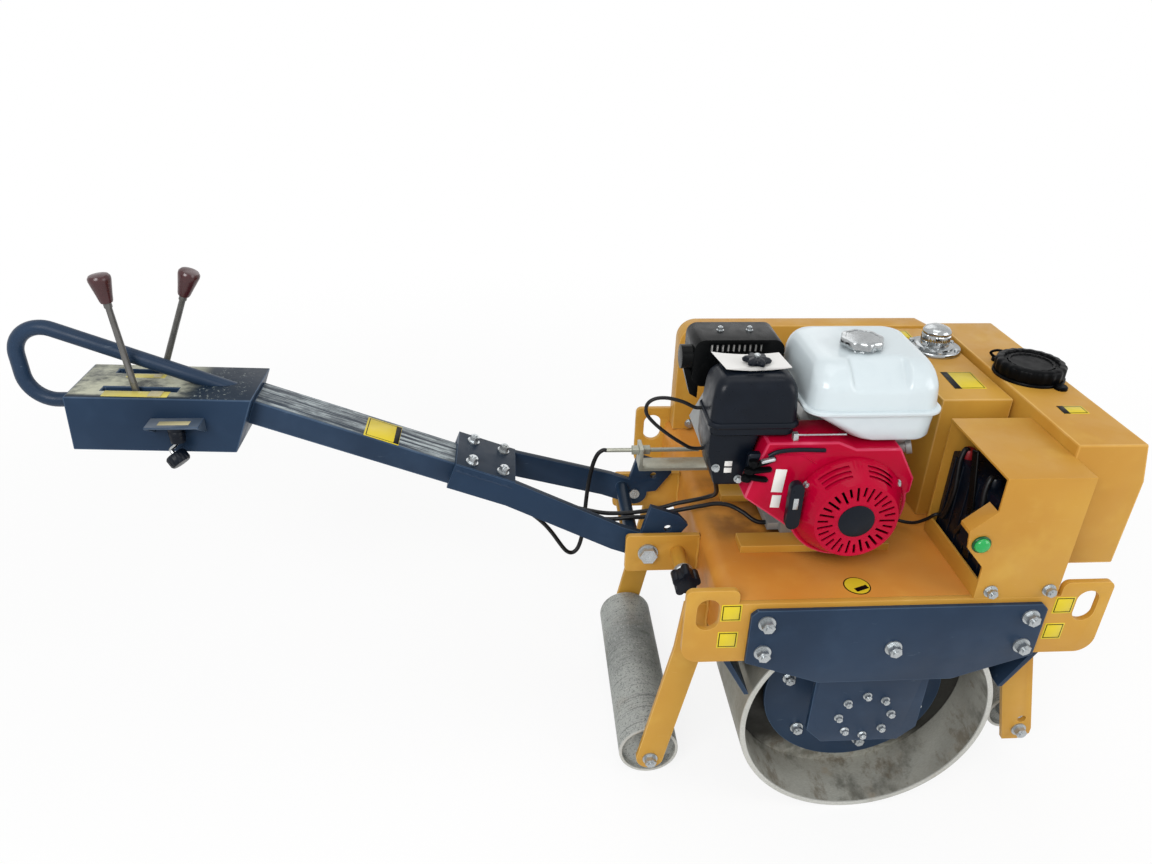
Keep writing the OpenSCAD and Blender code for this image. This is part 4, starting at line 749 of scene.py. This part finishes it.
# Caps of the fuel, hydraulic and water tanks
def add_caps():
    fuel = Shape("fuel_cap_lobed", "chassis", "chrome_plate")
    base = at(-62, -124, 860)
    fuel.turned([(26, 0), (26, 4), (33, 4), (35, 6), (35, 14), (33.5, 17), (28, 18), (27, 17), (10, 17.6), (0, 17.8)],
                base, UP, CHROME, 64, 8, 0.09)
    fuel.done(("fuel_cap",))
    oil = Shape("hydraulic_cap_breather", "chassis", "chrome_plate")
    base = at(198, 142, 741)
    oil.turned([(50, 0), (50, 6), (48.5, 8), (36, 8), (35, 11), (31, 13), (27, 13), (26, 17)], base, UP, CHROME, 48)
    oil.turned([(26, 0), (27, 1.5), (27, 16), (25.5, 18)], base + 16 * MM * UP, UP, CHROME, 72, 36, 0.05)
    oil.turned([(25, 0), (26.5, 2), (26.5, 6), (23, 11), (15, 15), (0, 16.6)], base + 33.4 * MM * UP, UP, CHROME, 48)
    for k in range(6):
        foot = at(*on_circle(198, 142, 43, 60 * k + 20), 748.8)
        oil.turned([(5, 0), (5, 3), (3.4, 4), (0, 4)], foot, UP, ZINC, 10)
    oil.done(("hydraulic_cap",))
    water = Shape("water_cap_ribbed", "chassis", "black_plastic")
    base = at(312.5, 4, 750)
    water.turned([(61, 0), (61, 3.5), (60, 5), (55, 5)], base, UP, CAP_BLACK, 64)
    lid = [(56, 4), (58.5, 5), (59.5, 7), (59.5, 23), (58, 26.5), (55, 28.5), (48, 29), (46.5, 27.5), (46, 24.5),
           (41, 24.2), (40, 26), (36, 26), (35, 23.8), (0, 23.8)]
    water.turned(lid, base, UP, CAP_BLACK, 120, 20, 0.035)
    for side in (-1, 1):
        ear = base + MM * Vector((-26 * side, 62 * side, 0))
        water.turned([(11, 0), (11, 5), (9, 7), (0, 7)], ear, UP, CAP_BLACK, 24)
    strap = [base + MM * Vector(p) for p in ((-22, 52, 22), (-30, 64, 20), (-38, 70, 13), (-30, 66, 5))]
    water.tube(smooth_route(strap), 5, CAP_BLACK, 8)
    water.done(("water_cap",))


add_caps()


# Start switch with its green lens
def add_switch():
    shape = Shape("start_switch_lamp", "chassis", "black_plastic")
    face = at(103, -319, 613)
    shape.block(face + MM * Vector((0, 24, 3)), RIGHT, UP, (26, 46, 38), BLACK)
    shape.turned([(15, 0), (15, 2.5), (13.5, 4), (12, 4)], face, NEAR, LAMP_RIM, 32)
    shape.turned([(12.5, 0), (12.5, 5), (11, 8), (7, 10), (0, 10.6)], face, NEAR, LAMP, 32)
    shape.done(("start_switch",))


add_switch()


# Throttle knob: boot, bright stem and a knurled wheel hung askew
def add_throttle_knob():
    shape = Shape("throttle_knob_set", "handle", "black_plastic")
    base = at(BOX_END_X + 174, -82, BOX_TOP_Z - 34)
    bend = base + MM * Vector((-15, 0, -46))
    askew = Vector((0.6, -0.35, -0.7)).normalized()
    boot = [(13, 0), (13, 8), (11.5, 9), (13, 11), (13, 18), (11.5, 19), (12.5, 22), (12, 30), (8, 32)]
    wheel = [(7, 0), (15, 1), (17.5, 4), (17.5, 17), (15, 20.5), (0, 21.5)]
    stem = [base - 30 * MM * UP, base + MM * Vector((-7, 0, -38)), bend, bend + 12 * MM * askew]
    shape.turned(boot, base, -UP, BLACK, 28)
    shape.tube(smooth_route(stem), 7, CHROME)
    shape.turned(wheel, bend + 8 * MM * askew, askew, BLACK, 60, 20, 0.05)
    shape.done(("throttle_knob",))


add_throttle_knob()


# Small parts of the engine and the battery
def tilted(degrees):
    return Matrix.Rotation(math.radians(degrees), 3, "Y") @ RIGHT


def add_engine_trim():
    shape = Shape("engine_trim", "chassis")
    # plain cap on the starter's hub, and a black disc for the flywheel fan behind the starter's slots, painted shade
    # seen through them
    shape.turned([(29, 0), (29, 1.2), (27.5, 2), (0, 2.2)], at(STARTER_X, -269.8, STARTER_Z), NEAR, BLACK, 48)
    shape.turned([(82.5, 0), (82.5, 1), (0, 1)], at(STARTER_X, FACE_Y - 0.2, STARTER_Z), NEAR, STOVE_BLACK, 48)
    # blank labels on the shroud
    for x, z, width, height, tilt in ((-197, 675, 18, 42, 4), (-197.5, 636.5, 15, 23, 3)):
        u = tilted(tilt)
        shape.block(at(x, FACE_Y - 0.4, z), u, -NEAR.cross(u), (width, height, 1), PAPER, 0.2)
    # blank decals on the carburettor cover
    for z in (694, 682):
        shape.block(at(-275, -202.2, z), RIGHT, UP, (12, 9, 1), PAPER, 0.2)
    # choke and fuel levers beside the carburettor cover
    shape.block(at(-233, -213, 694), RIGHT, UP, (32, 52, 16), BLACK, 3)
    for x, z, tilt in ((-228, 710, -22), (-233, 696, -6), (-237, 682, 10)):
        shape.block(at(x, -227, z), tilted(tilt), NEAR, (42, 12, 9), CAP_BLACK, 3)
        shape.turned([(8, 0), (8, 7), (6, 8.5), (0, 8.5)], at(x - 14, -227, z - 4), UP, CAP_BLACK, 16)
    shape.block(at(-222, -234, 718), Vector((1, 0, 0.25)), NEAR, (22, 9, 5), ZINC, 1.2)
    # stay and rod of the governor
    shape.tube([at(-180, -216, 752), at(-98, -216, 752)], 3, ZINC, 8)
    shape.block(at(-178, -214, 744), RIGHT, UP, (8, 22, 10), ZINC, 0.6)
    # painted highlight: a white plate behind the shield's slots, for the muffler's bright skin seen through them
    shape.block(at(-252, -84.4, 843), RIGHT, UP, (94, 13.5, 0.6), PAPER, 0.1)
    # black hose from the levers along the shroud, and the shroud's pressed line
    shape.wire([(-220, -228, 722), (-206, -229, 730), (-176, -229, 733), (-132, -228, 731)], 7, BLACK, 10)
    shape.tube([at(-204, FACE_Y, 722), at(-166, FACE_Y, 722), at(-142, FACE_Y, 706)], 3.2, RED, 8)
    # silver tag on the starter grip
    shape.block(at(-175, -255.2, 650), RIGHT, UP, (8, 20, 0.8), ZINC, 0.2)
    # oil filler and governor housing, seen past the shroud's right edge
    filler = [(11, 0), (11, 24), (14, 25), (14, 34), (0, 34)]
    shape.turned(filler, at(8, -150, 690), Vector((1, -0.3, 0.3)), ALUMINIUM, 20)
    shape.block(at(4, -168, 722), RIGHT, UP, (30, 16, 22), ALUMINIUM, 3)
    # drain plug at the crankcase's foot
    shape.turned([(9, 0), (9, 8), (6, 10), (0, 10)], at(-150, -148, 560), Vector((-1, -0.4, 0)), ZINC, 16)
    shape.done()
    # poles of the battery with their leads, its strap, the switch's lead and ribs of the case
    leads = Shape("battery_terminals", "chassis")
    for y, mat in ((-160, RED_BOOT), (-250, BLACK)):
        leads.turned([(12, 0), (12, 10), (9, 15), (0, 16)], at(142, y, 676), UP, mat, 20)
        leads.wire([(142, y, 686), (132, y - 4, 692), (124, y - 10, 672), (122, y - 20, 630), (123, y - 14, 590),
                    (124, y - 2, 556)], 9, SHEATH, 10)
    leads.block(at(124.5, -232, 628), Vector((0, 0.3, 1)), RIGHT, (180, 3.5, 18), STOVE_BLACK, 0.8)
    leads.wire([(124, -212, 560), (121, -236, 600), (120, -262, 636), (122, -284, 652), (124, -300, 650)],
               8, SHEATH, 10)
    for k in range(6):
        leads.block(at(126.6, -292 + 28 * k, 600), UP, RIGHT, (140, 2.5, 5), BLACK, 0.6)
    leads.done()


add_engine_trim()


# Lock pin's plated collar, and weld beads
def add_beads():
    collar = Shape("lock_collar", "chassis", "zinc_steel")
    profile = [(17, 0), (17.5, 1), (17.5, 8), (16, 9), (16, 12), (14, 13)]
    collar.turned(profile, at(-323, -168, PIVOT_Z), NEAR, ZINC, 28)
    collar.done()

    def bead(shape, a, b, d, mat):
        count, points = max(4, int((b - a).length / (d * 0.7 * MM))), []
        for k in range(count + 1):
            ripple = Vector((math.sin(7 * k), math.cos(5 * k), math.sin(11 * k)))
            points.append(a.lerp(b, k / count) + MM * 0.12 * d * ripple)
        shape.tube(points, d, mat, 8)

    fixed, moving = Shape("weld_beads_chassis", "chassis"), Shape("weld_beads_handle", "handle")
    for side in (-1, 1):
        for x, y, low, high in ((-286, 101, 422, 489), (-286, 113, 422, 489), (-286, 211, 372, 452),
                                (286, 211, 300, 452), (-286, 223, 372, 452), (286, 223, 300, 452)):
            bead(fixed, at(x, side * y, low), at(x, side * y, high), 6, YELLOW)
        bead(moving, on_bar(264, side * 59, 14.5), on_bar(370, side * 59, 14.5), 5, SLATE)
    fixed.done()
    moving.done()


add_beads()


# Blank foil labels: yellow field with a black edge
def label(shape, centre, u, v, width, height, edge=2.0, dark=0.0):
    """Foil on a face: u across, v up; a thin black line runs inside its rim, and dark is a black share at its left."""
    u, v = u.normalized(), v.normalized()
    normal = u.cross(v)
    for lift, inset, mat in ((0.1, 0, LABEL), (0.2, edge, LABEL_EDGE), (0.3, edge + 1.6, LABEL)):
        shape.block(centre + lift * MM * normal, u, v, (width - 2 * inset, height - 2 * inset, 0.6), mat, 0.15)
    if dark:
        left = centre + 0.4 * MM * normal - (0.5 - dark / 2) * width * MM * u
        shape.block(left, u, v, (dark * width, height, 0.6), LABEL_EDGE, 0.15)


def add_labels():
    fixed = Shape("foil_labels_chassis", "chassis")
    for x, z in ((-274, 489), (-275, 434), (273, 488), (270, 434)):
        label(fixed, at(x, -319, z), RIGHT, UP, 33, 33)
    for x, y, z, width, height, dark in (
            (192, 0, 741, 58, 70, 0.22), (160, 216, 741, 44, 40, 0.25), (315, -137, 750, 44, 28, 0.25)):
        label(fixed, at(x, y, z), RIGHT, Vector((0.05, 1, 0)), width, height, dark=dark)
    spot = at(-60, -280, 506)
    fixed.turned([(22, -0.2), (22, 0.3), (0, 0.3)], spot, UP, LABEL_EDGE, 40)
    fixed.turned([(20, 0), (20, 0.6), (0, 0.6)], spot, UP, LABEL, 40)
    bar = spot + MM * Vector((5, -7, 0.5))
    fixed.block(bar, Vector((1, 0.4, 0)), Vector((-0.4, 1, 0)), (24, 9, 0.8), LABEL_EDGE, 0.2)
    fixed.done()
    moving = Shape("foil_labels_handle", "handle")
    label(moving, on_bar(505, -3, 14), -BAR_BACK, AWAY, 62, 66, 3)
    moving.block(on_bar(479, -3, 14.5), -BAR_BACK, AWAY, (9, 61, 0.6), LABEL_EDGE, 0.15)
    slope = Vector((BOX_LENGTH, 0, -BOX_FALL)).normalized()
    for x, y, width, height in ((-1229, -49, 104, 20), (-1236, 21, 64, 14)):
        top = BOX_TOP_Z + BOX_FALL * (BOX_END_X + BOX_LENGTH - x) / BOX_LENGTH
        moving.block(at(x, y, top + 0.1), slope, AWAY, (width, height, 0.8), STRIP, 0.2)
        moving.block(at(x + 0.3 * width, y, top + 0.3), slope, AWAY, (0.2 * width, height, 0.6), CREAM, 0.2)
    moving.block(at(-1164, -84, 714.3), RIGHT, AWAY, (50, 13, 0.8), CREAM, 0.3)
    moving.done()


add_labels()


# Hex bolts with washers, set out by Geometry Nodes
def bolt_tree():
    """Bolt of one unit across flats on each point, turned and scaled by the point's attributes."""
    tree = bpy.data.node_groups.new("hex_bolts", "GeometryNodeTree")
    for name, kind in (("Geometry", "Geometry"), ("Head height", "Float"), ("Washer width", "Float"),
                       ("Stud height", "Float"), ("Metal", "Material")):
        tree.interface.new_socket(name, in_out="INPUT", socket_type="NodeSocket" + kind)
    tree.interface.new_socket("Geometry", in_out="OUTPUT", socket_type="NodeSocketGeometry")
    given = tree.nodes.new("NodeGroupInput").outputs
    washer_t = 0.14

    def cylinder(sides, radius, depth, base):
        body = add(tree, "GeometryNodeMeshCylinder", out="Mesh", Vertices=sides, Radius=radius, Depth=depth)
        half = add(tree, "ShaderNodeMath", {"operation": "MULTIPLY_ADD"}, i0=depth, i1=0.5, i2=base)
        lift = add(tree, "ShaderNodeCombineXYZ", Z=half)
        return add(tree, "GeometryNodeTransform", Geometry=body, Translation=lift)

    half_washer = times(tree, given["Washer width"], 0.5)
    head_top = reckon(tree, "ADD", given["Head height"], washer_t)
    join = tree.nodes.new("GeometryNodeJoinGeometry")
    for part in (cylinder(24, half_washer, washer_t, 0.0), cylinder(6, 0.577, given["Head height"], washer_t),
                 cylinder(20, 0.46, 0.06, head_top), cylinder(12, 0.27, given["Stud height"], head_top)):
        tree.links.new(part, join.inputs[0])
    facing, flats, spin = (
        add(tree, "GeometryNodeInputNamedAttribute", {"data_type": kind}, Name=name)
        for name, kind in (("facing", "FLOAT_VECTOR"), ("flats", "FLOAT"), ("spin", "FLOAT")))
    aligned = add(tree, "FunctionNodeAlignRotationToVector", {"axis": "Z"}, Vector=facing)
    put = add(tree, "GeometryNodeInstanceOnPoints", Points=given["Geometry"], Instance=join.outputs[0],
              Rotation=aligned, Scale=flats)
    turn = add(tree, "ShaderNodeCombineXYZ", Z=spin)
    put = add(tree, "GeometryNodeRotateInstances", Instances=put, Rotation=turn)
    real = add(tree, "GeometryNodeRealizeInstances", Geometry=put)
    clad = add(tree, "GeometryNodeSetMaterial", Geometry=real, Material=given["Metal"])
    tree.links.new(clad, tree.nodes.new("NodeGroupOutput").inputs[0])
    return tree


BOLT_TREE = bolt_tree()
BOLT_INPUTS = {s.name: s.identifier for s in BOLT_TREE.interface.items_tree if s.in_out == "INPUT"}


def add_bolts(name, body, rows):
    """One piece of bolts for a body; a row is place, facing and width across flats in millimetres."""
    mesh = bpy.data.meshes.new(name + "_points")
    mesh.from_pydata([p for p, _, _ in rows], [], [])
    for key, kind, field, values in (
            ("facing", "FLOAT_VECTOR", "vector", [c for _, n, _ in rows for c in n]),
            ("flats", "FLOAT", "value", [s * MM for _, _, s in rows]),
            ("spin", "FLOAT", "value", [0.9 * i for i in range(len(rows))])):
        mesh.attributes.new(key, kind, "POINT").data.foreach_set(field, values)
    holder = new_object(name + "_points", mesh)
    mod = holder.modifiers.new("bolts", "NODES")
    mod.node_group = BOLT_TREE
    for key, value in (("Head height", 0.6), ("Washer width", 1.5), ("Stud height", 0.2), ("Metal", ZINC)):
        mod[BOLT_INPUTS[key]] = value
    place(name, baked(holder, name), body)


def bolt_rows():
    fixed, drum = [], []

    def fit(rows, y, facing, flats, places):
        rows += [(at(x, y, z), facing, flats) for x, z in places]

    for side in (-1, 1):
        out = Vector((0, side, 0))
        fit(fixed, side * 327, out, 19, [(-217, 473), (-217, 413), (0, 415), (217, 473), (217, 413)])
        fit(fixed, side * 291, out, 10.5, [on_circle(0, AXLE_Z, 47, 45 * k + 4) for k in range(8)])
        fit(fixed, side * 222, out, 19, [(-363, 57), (352, 101)])
        fit(drum, side * 230, out, 16, [on_circle(0, AXLE_Z, 129, 60 * k - 16) for k in range(6)])
    fit(fixed, -319, NEAR, 15, [(141, 521), (238, 521)])
    fit(fixed, -228, NEAR, 9, [on_circle(STARTER_X, STARTER_Z, 85, a) for a in (31, 149, 270)])
    fit(fixed, -202, NEAR, 9, [(-295, 687), (-257, 666)])
    fit(fixed, -47, UP, 8, [(-272, 858), (-223, 858)])
    fit(fixed, 263, NEAR, 13, [(-240, 520), (-60, 520), (120, 520)])
    fit(fixed, 307, -NEAR, 13, [(-245, 640), (210, 640)])
    clamp = [(on_bar(u, y, 27), BAR_UP, 15) for u in (286, 344) for y in (-38, 38)]
    return fixed, drum, clamp


for body, rows in zip(("chassis", "drum", "handle"), bolt_rows()):
    add_bolts("bolts_" + body, body, rows)


# Studio: pale floor and soft lights
def add_studio():
    half, white = 200, srgb("#ffffff")
    mesh = bpy.data.meshes.new("floor")
    mesh.from_pydata([(-half, -half, 0), (half, -half, 0), (half, half, 0), (-half, half, 0)], [], [(0, 1, 2, 3)])
    floor = new_object("floor", mesh)

    def seen(tree):
        """1 for what the eye meets straight, as a highlight or through glass."""
        path = tree.nodes.new("ShaderNodeLightPath").outputs
        bounced = reckon(tree, "MAXIMUM", path["Is Glossy Ray"], path["Is Transmission Ray"])
        return reckon(tree, "MAXIMUM", path["Is Camera Ray"], bounced)

    # matt white floor that keeps the shadow; to the eye most of it is plain white
    mat, tree, bsdf = new_material("pale_studio_floor", Roughness=0.9, Specular_IOR_Level=0.05)
    tree.links.new(mottle(tree, "#f6f6f5", "#fafafa", 900, 0.3, 0.7), bsdf.inputs["Base Color"])
    plain = add(tree, "ShaderNodeEmission", Color=white, Strength=1.0)
    away = add(tree, "ShaderNodeVectorMath", {"operation": "LENGTH"}, "Value", i0=here(tree))
    near_m, far_m, near_share = 0.8, 3.0, 0.86
    share = times(tree, seen(tree), step(tree, away, near_m, far_m, near_share))
    shown = add(tree, "ShaderNodeMixShader", i0=share, i1=bsdf.outputs[0], i2=plain)
    out = next(n for n in tree.nodes if n.type == "OUTPUT_MATERIAL")
    tree.links.new(shown, out.inputs["Surface"])
    mesh.materials.append(mat)
    world = bpy.data.worlds.new("studio")
    bpy.context.scene.world = world
    world.use_nodes = True
    tree = world.node_tree
    tree.nodes.clear()
    dim = add(tree, "ShaderNodeBackground", Color=white, Strength=0.42)
    bright = add(tree, "ShaderNodeBackground", Color=white, Strength=1.0)
    shown = add(tree, "ShaderNodeMixShader", i0=seen(tree), i1=dim, i2=bright)
    tree.links.new(shown, tree.nodes.new("ShaderNodeOutputWorld").inputs["Surface"])
    # soft lamps: place, aim and size in metres, power
    for name, place_at, aim, size, watts in (
            ("key", (-1.4, -2.6, 2.6), (0, 0, 0.4), 1.6, 74), ("side", (3.0, -1.6, 1.8), (0.3, 0, 0.4), 2.0, 36),
            ("back", (0.5, 3.0, 2.8), (0, 0, 0.4), 2.4, 18), ("top", (0.3, -0.2, 3.4), (0.1, 0, 0.4), 1.8, 14)):
        data = bpy.data.lights.new(name, "AREA")
        data.size, data.energy = size, watts
        lamp = new_object(name, data)
        lamp.location = place_at
        lamp.rotation_euler = (Vector(aim) - Vector(place_at)).to_track_quat("-Z", "Y").to_euler()


add_studio()
bpy.context.scene.view_settings.view_transform = "Standard"
